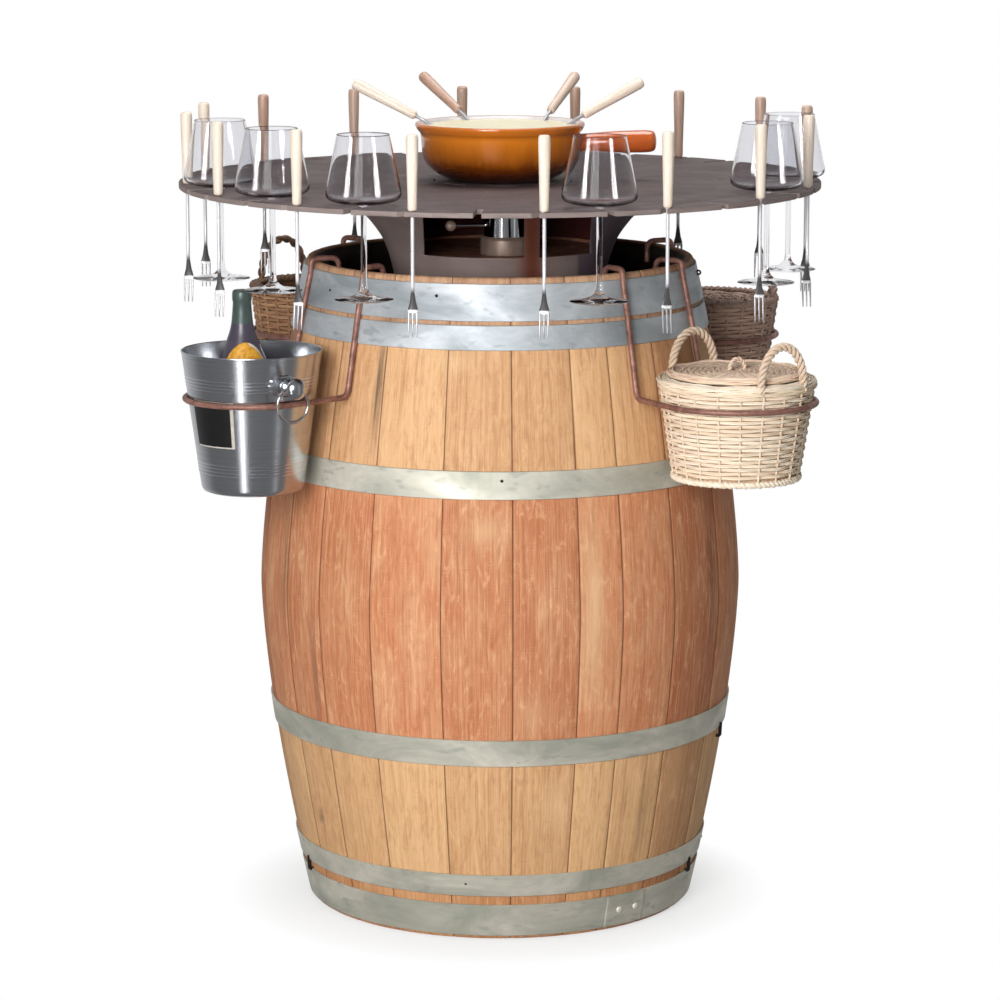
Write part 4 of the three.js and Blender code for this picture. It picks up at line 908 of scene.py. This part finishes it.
def add_glasses():
    """A stemmed glass that hangs by its bowl: one turned wall, from the foot up the stem and round the bowl."""
    look = glass_look()
    foot = np.array([[0.5, -126.3], [20, -126.5], [38.5, -126.7], [39.8, -126.3], [40, -125.7], [39.4, -125.1]])
    stem = spline([[36, -124.7], [26, -123.6], [16, -121.2], [9, -117.4], [5.6, -112.6], [4.3, -106], [4, -96],
                   [4, -50], [4, -12], [4.1, -7], [4.6, -2.5], [5.6, 0.4]], 4)
    bowl = spline([[8, 1.2], [20, 2.5], [32, 4.4], [42.5, 7.2], [48.6, 10.4], [51.2, 14.6], [51.3, 19.6], [49.9, 27.4],
                   [46.9, 42], [43.2, 60], [39.1, 80], [36, 95], [35.9, 95.9]], 5)
    lip = np.array([[35.8, 96.5], [35.5, 97], [35.1, 97.1], [34.8, 96.8], [34.7, 96.3]])
    inner = spline([[34.8, 95.6], [34.9, 94.8], [38, 80], [42, 60], [45.6, 42], [48.5, 28], [49.7, 20], [49.3, 16.2],
                    [46.6, 12.6], [41, 9.8], [30, 7.4], [15, 6.2], [0.5, 6]], 5)
    profile = np.vstack([foot, stem, bowl, lip, inner]) * MM
    for name, place in (("left", 13), ("front_left", 14), ("front_centre", 15), ("front_right", 1), ("right", 3),
                        ("far_right", 4)):
        seat = around(GLASS_REACH, FIRST_FORK - STEP / 2 + place * STEP, 0)
        form = Form()
        form.lathe(profile + [0, PLATE_TOP], seat[:2], 72)
        form.build(f"stemmed_glass_{name}", f"glass_{name}", "clear_glass", [f"glass_{name}"], [look], 60)


# Hangers and what they hold

# Heights at which the CAD barrel has its rows of sections
ROWS = np.array([0, 0.0635, 0.19, 0.355, 0.5, 0.645, 0.81, 0.928, 1]) * TOP
# What the hangers hold: azimuth, height of the ring round it, its radius there, and how far it stands off the barrel
HELD = {"bucket": (-54.9, 0.772, 0.0887722, 0.0106),
        "basket_front": (49.7, 0.772, 0.105690, 0.0012),
        "basket_rear_right": (131.9, 0.790, 0.102750, 0.0012),
        "basket_rear_left": (-139.4, 0.790, 0.101165, 0.0012)}


def row_radius(z):
    """The barrel's outline as straight lines between its rows of sections."""
    return np.interp(z, ROWS, barrel_radius(ROWS))


def held_centre(name):
    """The middle of a hanger's ring."""
    azimuth, z, grip, standoff = HELD[name]
    return around(float(row_radius(z)) + standoff + grip + GAP + 0.008, azimuth, z)


def add_hangers(settings):
    """Each hanger is one rod: hooked over the rim, down two legs and round the front of what it holds."""
    look = metal_look("rusty rod", settings.rust, linear(118, 80, 70), (60, 60, 60), (0.4, 0.6), 0.3, 0.4,
                      spots=linear(184, 148, 134))
    rod = settings.rod
    bare = 0.0026  # the hooks keep this far from the wood
    rim = TOP + bare + rod
    hook = float(row_radius(TOP)) - 0.025 - bare - rod
    brow, low_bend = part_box("hoop_chime")[1].z, 0.8454
    levels = [low_bend, *[row for row in ROWS if low_bend < row < TOP], brow]

    def leg_radius(height):
        """Just outside the corners of the CAD hoops, which have 48 sides."""
        return (float(row_radius(height)) + GAP) / math.cos(math.pi / 48) + 0.0024 + GAP + rod

    for name, (azimuth, z, grip, _) in HELD.items():
        foot = around(leg_radius(z), LEG_SPREAD, z)
        front = np.array([0, -math.hypot(*held_centre(name)[:2]), z])
        away = foot[:2] - front[:2]
        ring = grip + GAP + rod
        bearing = math.degrees(math.atan2(away[0], -away[1]))
        tangent = bearing - math.degrees(math.acos(ring / np.linalg.norm(away)))

        def leg(side):
            """Corners of a leg: up along the barrel's outline, over the rim and down inside it."""
            spread = side * LEG_SPREAD
            return [*[around(leg_radius(level), spread, level) for level in (z, *levels)],
                    around(leg_radius(brow), spread, rim), around(hook, spread, rim), around(hook, spread, TOP - 0.024)]

        arc = around(ring, np.linspace(tangent, -tangent, 49), z, front[:2])
        right = softened([*leg(1)[::-1], arc[0]], 0.012, 5)
        left = softened([arc[-1], *leg(-1)], 0.012, 5)
        path = np.vstack([right, arc[1:-1], left])
        a = math.radians(azimuth)
        spin = np.array([[math.cos(a), math.sin(a), 0], [-math.sin(a), math.cos(a), 0], [0, 0, 1]])
        form = Form()
        form.sweep(path @ spin, rod, 16, shift=azimuth)
        form.build(f"rod_{name}", f"hanger_{name}", "rusty_rod", [f"hanger_{name}"], [look], 60)


def on_wall(form, centre, radius, azimuths, levels, lift, inside=0.0, **more):
    """A curved patch on a tapered wall: radius(z) + lift in its middle, sunk to radius(z) - inside at its border."""
    a = np.concatenate([azimuths[:1], azimuths, azimuths[-1:]])
    z = np.concatenate([levels[:1], levels, levels[-1:]])
    rise = np.full((len(z), len(a)), lift)
    rise[[0, -1]] = -inside
    rise[:, [0, -1]] = -inside
    form.grid(around(radius(z)[:, None] + rise, a[None], z[:, None], centre), (False, False), (False, False), **more)


BUCKET_TALL = 0.1975
# The bucket's two knobs: azimuths, and the height of both above its foot
KNOBS = {"front": 31, "rear": -149}
KNOB_LEVEL = 0.158


def add_bucket(settings):
    """The tapered bucket with two sets of beads and a rolled rim, its knobs, its black plate and its two rings."""
    steel = metal_look("bucket steel", settings.bucket, linear(184, 187, 193), (3, 3, 260), (0.2, 0.26), 1.0, 0.04)
    enamel = flat_look("black enamel", linear(13, 13, 14), linear(20, 19, 20), (60, 60, 60), 0.4, 0.1)
    border = flat_look("plate border", linear(206, 200, 190), linear(176, 168, 158), (90, 90, 90), 0.4, 0.1)
    centre, foot = held_centre("bucket")[:2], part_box("bucket")[0].z
    top = foot + BUCKET_TALL

    def wall(z):
        """Outer radius of the taper: 71 mm at the foot and 98 mm at the rim."""
        return 0.071 + (np.asarray(z) - foot) / BUCKET_TALL * 0.027

    beads = np.concatenate([foot + start + np.arange(4) * 0.0049 for start in (0.029, 0.1486)])
    levels = [foot + 0.008, *np.linspace(foot + 0.012, top - 0.006, 30)]
    raised = [(b + d, s) for b in beads for d, s in ((-0.001, 0), (-0.0004, 0.0006), (0.0004, 0.0006), (0.001, 0))]
    near = [z for z in levels if np.min(np.abs(beads - z)) > 0.0016]
    rows = sorted([(z, 0) for z in near] + raised)
    outer = np.array([[float(wall(z)) + s, z] for z, s in rows])
    base = rising(foot, (1, 2), (56, 2), (60, 0), (64.6, 0), (69.4, 2), (71.6, 6))
    rim = rising(top, (97.6, -3), (98.3, -2.4), (98.5, -1.4), (98.3, -0.4), (97.5, 0), (96.7, -0.8), (96.2, -3))
    inside = [[float(wall(z)) - 0.0017, z] for z in np.linspace(top - 0.008, foot + 0.008, 12)]
    form = Form()
    profile = np.vstack([base, outer, rim, inside, rising(foot, (66, 3.6), (1, 3.4))])
    tone = np.zeros(len(profile))
    # The raised beads are painted lighter: a painted highlight on each bead
    tone[len(base):len(base) + len(outer)] = [s / 0.0006 for _, s in rows]
    form.lathe(profile, centre, 144, tone=tone[:, None])
    level = foot + KNOB_LEVEL
    for azimuth in KNOBS.values():
        knob(form, centre, azimuth, level, float(wall(level)))
    form.build("bucket_body", "bucket", "bucket_steel", ["bucket"], [steel], 30)
    form = Form()
    on_wall(form, centre, wall, np.linspace(-60, -13.5, 22), np.linspace(0.7115, 0.7765, 12), 0.0011, 0.0008, slot=1)
    on_wall(form, centre, wall, np.linspace(-59.5, -16.5, 22), np.linspace(0.7135, 0.7762, 12), 0.0015, 0.0004)
    form.build("bucket_plate", "bucket", "chrome_trim", [], [enamel, border])
    chrome = metal_look("ring chrome", linear(222, 220, 220), linear(160, 156, 158), (40, 40, 40), (0.08, 0.2), 1.0,
                        0.05)
    ring = 0.0236
    for name, azimuth in KNOBS.items():
        middle = around(0.1206, azimuth, level - ring, centre)
        form = Form()
        form.ring(upright_ring(middle, ring, around(1, azimuth + 90, 0), 64), 0.0022, 14, around(1, azimuth, 0))
        form.build(f"chrome_ring_{name}", f"bucket_ring_{name}", "chrome_trim", [f"bucket_ring_{name}"], [chrome])


def knob(form, centre, azimuth, z, wall):
    """A rosette of petals laid on the bucket's wall, a turned neck, an eye for the ring and a domed end."""
    out = around(1, azimuth, 0)
    start = np.array([centre[0], centre[1], z])
    turn = steps_round(96, 2 * np.pi)
    for petals, phase, wide, rise in ((10, 0, 1, 0), (8, 0.4, 0.7, 0.0022)):
        wave = 1 + 0.1 * np.abs(np.cos(petals / 2 * turn + phase)) - 0.05
        scallop = 1 + (wave - 1) * np.array([1, 1, 1, 0.5, 0])[:, None]
        share = np.array([1, 1.04, 0.9, 0.7, 0.4])[:, None] * wide * scallop
        reach = np.array([-0.0006, 0.0012, 0.0032, 0.0030, 0.0042])[:, None] + rise
        across = np.degrees(0.021 * share * np.cos(turn) / wall)
        form.grid(around(wall + reach, azimuth + across, z + 0.0150 * share * np.sin(turn), centre), ends=(False, True))
    for h, r in (((3, 6, 7.4, 9, 11.5, 14, 16.5, 18.6, 20.5, 22.6), (8.6, 8, 6.4, 7.2, 9.8, 10.6, 9.6, 7.2, 5, 3.4)),
                 ((32.4, 33.3, 34.8, 37, 40, 43.5, 46.6, 48.4, 48.9), (4.6, 7.8, 11.2, 14, 14.8, 13.4, 9.6, 5, 1))):
        h, r = spline(np.array([h, r]).T * MM, 3).T
        form.sweep(start + (wall + h[:, None]) * out, r, 40, (0, 0, 1))
    eye = upright_ring(start + (wall + 0.028) * out, 0.0059, out, 32)
    form.ring(eye, 0.0021, 12, around(1, azimuth + 90, 0))


def add_bottle():
    """A dark bottle with foil over its neck, and an oval label that lies on its shoulder."""
    glass = flat_look("bottle glass", linear(84, 78, 92), linear(66, 60, 72), (20, 20, 20), 0.3, 0.05)
    foil = metal_look("bottle foil", linear(82, 98, 94), linear(58, 72, 70), (60, 60, 26), (0.3, 0.45), 0.2, 0.4)
    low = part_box("bottle")[0].z
    centre = around(0.0295, -151, 0, held_centre("bucket")[:2])[:2]
    body = rising(low, (1, 3), (24, 2), (34, 0), (37.2, 3), (38, 9), (38, 80), (38, 146))
    form = Form()
    shoulder = spline(rising(low, (37.8, 154), (36.2, 166), (32.5, 179), (27.6, 191), (22.6, 204), (18, 217),
                             (15.3, 229), (13.7, 245)), 5)
    neck = rising(low, (12.8, 258.5), (13.4, 260.5), (13.7, 263), (13.6, 270), (13, 273.5), (11.5, 275.2), (1, 275.7))
    split = 31
    form.lathe(np.vstack([body, shoulder[:split]]), centre, 64, ends=(True, False))
    form.lathe(np.vstack([shoulder[split - 1:], neck]), centre, 64, ends=(False, True), slot=1)
    form.build("wine_bottle", "bottle", "bottle_glass", ["bottle"], [glass, foil])
    label = Form()
    t = np.append(np.linspace(0.02, 0.94, 9), 1)[:, None]
    turn = steps_round(48, 2 * np.pi)[None]
    azimuth = 14 + 60 * t * np.cos(turn)
    z = 0.815 + 0.034 * t * np.sin(turn)
    radius = np.interp(z, shoulder[:, 1], shoulder[:, 0], left=0.038)
    lift = np.where(t > 0.99, -0.0004, 0.0006) + 0 * turn
    points = around(np.minimum(radius, 0.038) + lift, azimuth, z, centre)
    label.grid(points, ends=(True, False), edge=(t > 0.9) * (np.cos(turn) > 0.2))
    label.build("bottle_label", "bottle", "label_paper", [], [label_look()])


# Basket: azimuth of its handles, width and rise of a handle, height, stakes, rows, and how dark its braids are
BASKETS = {"basket_front": (34.3, 0.085, 0.058, 0.145, 20, 22, 0.5),
           "basket_rear_right": (90, 0.070, 0.022, 0.160, 26, 24, 0.5),
           "basket_rear_left": (-139.4, 0.095, 0.062, 0.170, 28, 26, 0.85)}
BASKET_FOOT, BASKET_FLARE = 0.089, 0.022
STAKE = 0.0021
HANDLE_ROD = 0.006


def braid(form, radius, z, centre, waves, width, depth, rod, random, edge=0.0):
    """A flat braid laid in a circle: strand k swings sideways as sin(f) and up as sin(2f), with f = waves * a + k/3."""
    azimuth = steps_round(waves * 8)
    for k in range(3):
        f = np.radians(azimuth) * waves + 2 * np.pi * k / 3
        path = around(radius + width * np.sin(f), azimuth, z + depth * np.sin(2 * f), centre)
        form.ring(path, rod, 7, tone=random.uniform(0, 0.8), edge=edge)


def hank(form, radius, z, centre, random):
    """Six thin straws laid round side by side, which wander a little over one another."""
    azimuth = steps_round(120)
    for k in range(6):
        f = 2 * np.pi * k / 6
        sway = 0.0009 * np.sin(np.radians(azimuth) * random.integers(5, 12) + f)
        path = around(radius + 0.0021 * np.cos(f) + sway, azimuth, z + 0.0021 * np.sin(f) + sway, centre)
        form.ring(path, 0.0013, 6, tone=random.uniform(0, 1))


def straw(form, z, centre, random):
    """Loose dry straw that fills a basket up to its rim: tangled thin stalks that wander round and across."""
    turn = np.radians(steps_round(90))
    # The disc under the stalks is painted dark: painted shade between them
    form.lathe(rising(z, (1, -4), (98, -4), (98, -0.5), (1, 0)), centre, 48, tone=1, edge=0.9)
    for k in range(34):
        sway = random.uniform(0.003, 0.009) * np.sin(turn * random.integers(3, 11) + random.uniform(0, 6))
        lift = 0.0030 * np.sin(turn * random.integers(4, 13) + random.uniform(0, 6))
        path = around(0.012 + 0.0024 * k + sway, np.degrees(turn), z + 0.001 + lift, centre)
        form.ring(path, 0.0013, 5, tone=random.uniform(0, 1), edge=random.uniform(0.1, 0.75), shift=k)


def rope(form, path, side, turns, radius, rod, random, strands=2, edge=0.0):
    """Strands twisted round a path: path + radius * (cos f N + sin f B), with f = turns along it + k/strands."""
    normal, binormal = frames(path, side, False)
    share = np.linspace(0, 1, len(path))
    for k in range(strands):
        f = 2 * np.pi * (turns * share + k / strands)
        strand = path + radius * (np.cos(f)[:, None] * normal + np.sin(f)[:, None] * binormal)
        form.sweep(strand, rod, 10, tone=random.uniform(0, 0.7), shift=k, edge=edge)


def handle_path(width, rise, leg, azimuth, place):
    """Half an ellipse over two short legs, in the upright plane square to the azimuth, at even steps."""
    t = np.linspace(0, np.pi, 60)
    x = np.concatenate([[width / 2], width / 2 * np.cos(t), [-width / 2]])
    z = np.concatenate([[-leg], rise * np.sin(t), [-leg]])
    a = math.radians(azimuth)
    line = np.stack([x * math.cos(a), x * math.sin(a), z], -1) + place
    dense = np.cumsum(np.linalg.norm(np.diff(line, axis=0, prepend=line[:1]), axis=1))
    even = np.linspace(0, dense[-1], 110)
    return np.stack([np.interp(even, dense, line[:, i]) for i in range(3)], -1)


def add_basket(name, looks, random):
    """Woven wall: pairs of thin rods go round, in front of one stake and behind the next, as cos(stakes a / 2). The
    front basket has straws laid round its rim and handles of three strands; the others have braids and two."""
    azimuth, width, rise, tall, stakes, rows, dark = BASKETS[name]
    front = name == "basket_front"
    centre = held_centre(name)[:2]
    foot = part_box(name)[0].z
    top = foot + tall
    form = Form()

    def wall(z):
        return BASKET_FOOT + BASKET_FLARE * (np.asarray(z) - foot) / tall

    around_all = steps_round(stakes * 6)
    low, high = foot + 0.014, foot + tall - 0.009
    pitch = (high - low) / rows
    rod = pitch * 0.225
    for i in range(rows):
        wave = STAKE * np.cos(np.radians(around_all) * stakes / 2 + np.pi * i)
        wander = random.uniform(0.0002, 0.0005) * np.sin(np.radians(around_all) * random.integers(2, 7) + i)
        for pair in (-0.21, 0.21):
            level = low + (i + 0.5 + pair) * pitch
            path = around(wall(level) - rod - STAKE + wave, around_all, level + wander, centre)
            form.ring(path, rod, 6, tone=random.uniform(0, 1), edge=random.uniform(0, 0.25),
                      shift=random.uniform(0, 3))
    for k in range(stakes):
        turn = 360 * (k + random.uniform(-0.06, 0.06)) / stakes
        z = np.linspace(foot + 0.004, top - 0.006, 8)
        # The stakes get edge 0.35: painted shade where they sit among the weavers
        form.sweep(around(wall(z) - rod - STAKE, turn, z, centre), 0.0017 if front else STAKE, 8,
                   tone=random.uniform(0, 1), edge=0.35)
    braid(form, 0.0855, foot + 0.0065, centre, 26, 0.0028, 0.0022, 0.0033, random)
    if front:
        for radius, level in ((0.1078, 0.0046), (0.1072, 0.0112), (0.1012, 0.0036), (0.0955, 0.0036)):
            hank(form, radius, top - level, centre, random)
    else:
        braid(form, 0.1015, top - 0.006, centre, 24, 0.0058, 0.0024, 0.0036, random, edge=dark)
    if name == "basket_rear_right":
        straw(form, top - 0.011, centre, random)
    brim = float(wall(high))
    lining = [[0.001, foot + 0.002], [0.080, foot + 0.002], [0.0835, foot + 0.006], [brim - 0.0085, high],
              [brim - 0.0105, high], [0.0795, foot + 0.008], [0.001, foot + 0.006]]
    # The lining behind the weave is painted dark: painted shade seen between the rods
    form.lathe(lining, centre, 60, tone=0.9, edge=0.8)
    spread = width / 2 - HANDLE_ROD
    line = math.sqrt((0.1064 if front else 0.105)**2 - spread**2)
    twist = {"turns": 6, "radius": 0.0036, "rod": 0.0027, "strands": 3, "edge": dark} if front else {
        "turns": 6 if rise > 0.03 else 4, "radius": 0.0026, "rod": 0.0036, "edge": dark}
    for turn in (azimuth, azimuth + 180):
        path = handle_path(2 * spread, rise - HANDLE_ROD, 0.012, turn, around(line, turn, top, centre))
        rope(form, path, around(1, turn, 0), random=random, **twist)
    form.build(f"woven_{name}", name, "pale_willow" if front else "dark_willow", [name], looks, 60)


def add_lid(looks, random):
    """The lid: rings of rod that rise and sink over ribs as cos(12 a), straws laid round it and a twisted loop."""
    centre = held_centre("basket_front")[:2]
    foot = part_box("basket_lid")[0].z
    form = Form()
    edge, ribs = 0.092, 24
    # The disc under the ribs and rings is painted a little darker: painted shade between the rods
    form.lathe([[0.001, foot], [edge, foot], [edge, foot + 0.003], [0.001, foot + 0.0035]], centre, 60, tone=0.5,
               edge=0.3)
    for turn in steps_round(ribs):
        path = np.linspace(around(0.006, turn, foot + 0.0062, centre), around(edge, turn, foot + 0.0042, centre), 4)
        form.sweep(path, 0.0018, 6, tone=random.uniform(0.3, 1))
    turn = steps_round(ribs * 6)
    for i, radius in enumerate(np.arange(0.012, edge, 0.0042)):
        z = foot + 0.0065 - 0.0018 * (radius / 0.083)**2 + 0.0013 * np.cos(np.radians(turn) * 12 + np.pi * i)
        form.ring(around(radius, turn, z, centre), 0.002, 6, tone=random.uniform(0.2, 1), shift=random.uniform(0, 3))
    for radius, level in ((0.0938, 0.0042), (0.0898, 0.0062)):
        hank(form, radius, foot + level, centre, random)
    path = handle_path(0.026, 0.0148, 0.003, 34.3, np.array([*centre, foot + 0.009]))
    rope(form, path, around(1, 34.3, 0), 4, 0.0014, 0.0019, random)
    form.build("woven_lid", "basket_lid", "pale_willow", ["basket_lid"], looks, 60)


# Stage

# Lamps: place, aim, width and height, and power in watts
LAMPS = {"front": ((-1.2, -4.3, 1.9), (0, 0, 0.6), (2.0, 2.0), 178),
         "left strip": ((-1.35, -3.6, 0.3), (-0.346, -0.243, 0.3), (0.28, 5.0), 30),
         "right strip": ((2.27, -2.08, 0.3), (-0.346, -0.243, 0.3), (0.4, 5.0), 3),
         "top": ((0.2, 0.6, 3.8), (0, 0, 0), (2.0, 2.0), 70)}
# Upright lights that only clear glass shows: the middle and the half width of each, as x / -y of its direction
GLASS_LIGHTS = ((-1.3, 0.36), (1.12, 0.3))


def floor_look():
    """Pale floor: it keeps the shadow near the object and turns white far away, and mirrors don't see it."""
    look = Look("floor", Roughness=0.9)
    wander = look.noise((0.8, 0.8, 1), 2)
    place = look.add("VectorMath", {0: look.place}, operation="LENGTH").outputs["Value"]
    bounce = look.mix(look.add("LightPath").outputs["Is Diffuse Ray"], (1.0, 1.0, 1.0), (0.6, 0.59, 0.57))
    look.finish(look.mix(wander, bounce, bounce))
    white = look.add("Emission", {"Color": (1, 1, 1, 1), "Strength": 1.0}).outputs[0]
    rays = look.add("LightPath").outputs
    seen = look.maths("MAXIMUM", rays["Is Camera Ray"], rays["Is Transmission Ray"])
    far = look.maths("MULTIPLY", seen, look.spread(place, 0.26, 0.40, 0.55, 1))
    mixed = look.add("MixShader", {0: far, 1: look.shader.outputs[0], 2: white}).outputs[0]
    clear = look.add("BsdfTransparent").outputs[0]
    mixed = look.add("MixShader", {0: rays["Is Glossy Ray"], 1: mixed, 2: clear}).outputs[0]
    look.tree.links.new(mixed, look.output.inputs["Surface"])
    return look.material


def add_floor(scene):
    """A disc of rings that widen towards its rim, just under the object."""
    form = Form()
    radius = np.concatenate([[0.01], np.geomspace(0.3, 80, 24)])[::-1]
    form.grid(around(radius[:, None], steps_round(96)[None], -0.0005), ends=(False, True))
    floor = bpy.data.meshes.new("floor")
    floor.from_pydata(np.concatenate(form.points).tolist(), [], form.faces)
    floor.materials.append(floor_look())
    ground = bpy.data.objects.new("floor", floor)
    scene.collection.objects.link(ground)


def add_world(scene, settings):
    """Even light, a room that is brighter behind the object for mirrors, upright lights for glass, and a white
    background for the camera and for what glass lets through."""
    world = bpy.data.worlds.new("studio")
    scene.world = world
    world.use_nodes = True
    sky = Wiring(world.node_tree)
    rays = sky.add("LightPath").outputs
    inner = sky.maths("MULTIPLY", rays["Is Singular Ray"], sky.maths("GREATER_THAN", rays["Transmission Depth"], 0.5))
    seen = sky.maths("MAXIMUM", rays["Is Camera Ray"], sky.maths("MAXIMUM", rays["Is Transmission Ray"], inner))
    way = sky.add("SeparateXYZ", {0: sky.add("TexCoord").outputs["Generated"]}).outputs
    room = sky.add("MapRange", {"Value": way["Y"], 1: 0.1, 2: 0.85, 3: settings.mirror, 4: 0.7}).outputs[0]
    side = sky.maths("DIVIDE", way["X"], sky.maths("MULTIPLY", way["Y"], -1))
    stripes = sky.maths("MAXIMUM", *(sky.maths("COMPARE", side, *light) for light in GLASS_LIGHTS))
    for share in (sky.maths("LESS_THAN", way["Y"], -0.1), sky.maths("COMPARE", way["Z"], 0.25, 0.3),
                  rays["Is Singular Ray"], settings.stripes):
        stripes = sky.maths("MULTIPLY", stripes, share)
    even = sky.add("Background", {0: (1, 0.985, 0.965, 1), 1: settings.ambient}).outputs[0]
    mirror = sky.add("Background", {0: (1, 1, 1, 1), 1: sky.maths("ADD", room, stripes)}).outputs[0]
    white = sky.add("Background", {0: (1, 1, 1, 1)}).outputs[0]
    lit = sky.add("MixShader", {0: rays["Is Glossy Ray"], 1: even, 2: mirror}).outputs[0]
    sky.add("OutputWorld", {0: sky.add("MixShader", {0: seen, 1: lit, 2: white}).outputs[0]})


def add_stage(settings):
    """The floor, the world, the lamps and the camera at the photo's viewing angle."""
    scene = bpy.context.scene
    scene.view_settings.view_transform = "Standard"
    add_floor(scene)
    add_world(scene, settings)
    for name, (place, aim, size, power) in LAMPS.items():
        lamp = bpy.data.lights.new(name, "AREA")
        lamp.shape, lamp.size, lamp.size_y, lamp.energy = "RECTANGLE", size[0], size[1], power
        holder = bpy.data.objects.new(name, lamp)
        holder.location = place
        holder.rotation_euler = (Vector(aim) - Vector(place)).to_track_quat("-Z", "Y").to_euler()
        scene.collection.objects.link(holder)
    camera = bpy.data.cameras.new("camera")
    camera.lens, camera.sensor_width, camera.clip_end = settings.lens, 36, 300
    view = bpy.data.objects.new("camera", camera)
    view.location = (0, -5.4585, 1.5791)
    view.rotation_euler = (math.radians(79.65), 0, 0)
    scene.collection.objects.link(view)
    scene.camera = view


# Operators

def operator(name, label, text, work):
    """An operator class that runs one building function."""
    def execute(self, context):
        work(context.scene)
        return {"FINISHED"}
    return type(f"BAR_OT_{name}", (bpy.types.Operator,), {
        "__doc__": text, "bl_idname": f"bar.{name}", "bl_label": label, "bl_options": {"REGISTER"},
        "execute": execute})


def baskets(scene):
    """The three baskets and the lid, with one run of random numbers."""
    random = np.random.default_rng(21)
    kept = scene.bar_hanging
    pale = willow_look("pale willow", kept.pale, linear(240, 218, 190), linear(186, 150, 120))
    tan = willow_look("tan willow", kept.tan, linear(150, 108, 78), linear(86, 58, 42))
    brown = willow_look("brown willow", kept.brown, linear(188, 156, 140), linear(104, 80, 66))
    for name, look in (("basket_front", pale), ("basket_rear_right", brown), ("basket_rear_left", tan)):
        add_basket(name, [look], random)
    add_lid([willow_look("lid willow", linear(248, 228, 200), linear(232, 200, 178), linear(180, 140, 120))], random)


OPERATORS = (
    operator("staves", "Staves", "Builds the 24 oak staves and finishes what stands inside them",
             lambda scene: add_staves(scene.bar_barrel)),
    operator("hoops", "Hoops", "Builds the six galvanised hoops with their laps, rivets and nails",
             lambda scene: add_hoops(scene.bar_barrel)),
    operator("table", "Table", "Builds the table plate, its stand and the burner tray",
             lambda scene: add_table(scene.bar_table)),
    operator("burner", "Burner", "Builds the spirit burner", lambda scene: add_burner(scene.bar_table)),
    operator("pan", "Pan", "Builds the glazed pan and the fondue in it", lambda scene: add_pan(scene.bar_fondue)),
    operator("forks", "Forks", "Builds the hanging forks and the four in the pan",
             lambda scene: add_forks(scene.bar_fondue)),
    operator("glasses", "Glasses", "Builds the hanging glasses", lambda scene: add_glasses()),
    operator("hangers", "Hangers", "Builds the four rod hangers", lambda scene: add_hangers(scene.bar_hanging)),
    operator("bucket", "Bucket", "Builds the bucket, its plate and its rings",
             lambda scene: add_bucket(scene.bar_hanging)),
    operator("bottle", "Bottle", "Builds the bottle and its label", lambda scene: add_bottle()),
    operator("baskets", "Baskets", "Weaves the three baskets and the lid", baskets),
    operator("stage", "Stage", "Sets up the floor, the light and the camera",
             lambda scene: add_stage(scene.bar_stage)),
)
GROUPS = {"bar_barrel": BarrelSettings, "bar_table": TableSettings, "bar_fondue": FondueSettings,
          "bar_hanging": HangingSettings, "bar_stage": StageSettings}


class BAR_PT_pieces(bpy.types.Panel):
    """Lists the pieces and their sizes and colours."""
    bl_label = "Barrel bar"
    bl_idname = "BAR_PT_pieces"
    bl_space_type = "VIEW_3D"
    bl_region_type = "UI"
    bl_category = "Barrel bar"

    def draw(self, context):
        for made in OPERATORS:
            self.layout.operator(made.bl_idname)
        for name, group in GROUPS.items():
            box = self.layout.box()
            for key in group.__annotations__:
                box.prop(getattr(context.scene, name), key)


def register():
    for made in (*GROUPS.values(), *OPERATORS, BAR_PT_pieces):
        bpy.utils.register_class(made)
    for name, group in GROUPS.items():
        setattr(bpy.types.Scene, name, PointerProperty(type=group))


def unregister():
    for name in GROUPS:
        delattr(bpy.types.Scene, name)
    for made in reversed((*GROUPS.values(), *OPERATORS, BAR_PT_pieces)):
        bpy.utils.unregister_class(made)


def main():
    """Builds everything in order, and writes the size of the CAD model and of the dressed one."""
    register()
    for made in OPERATORS:
        getattr(bpy.ops.bar, made.bl_idname.split(".")[1])()


if __name__ == "__main__":
    main()
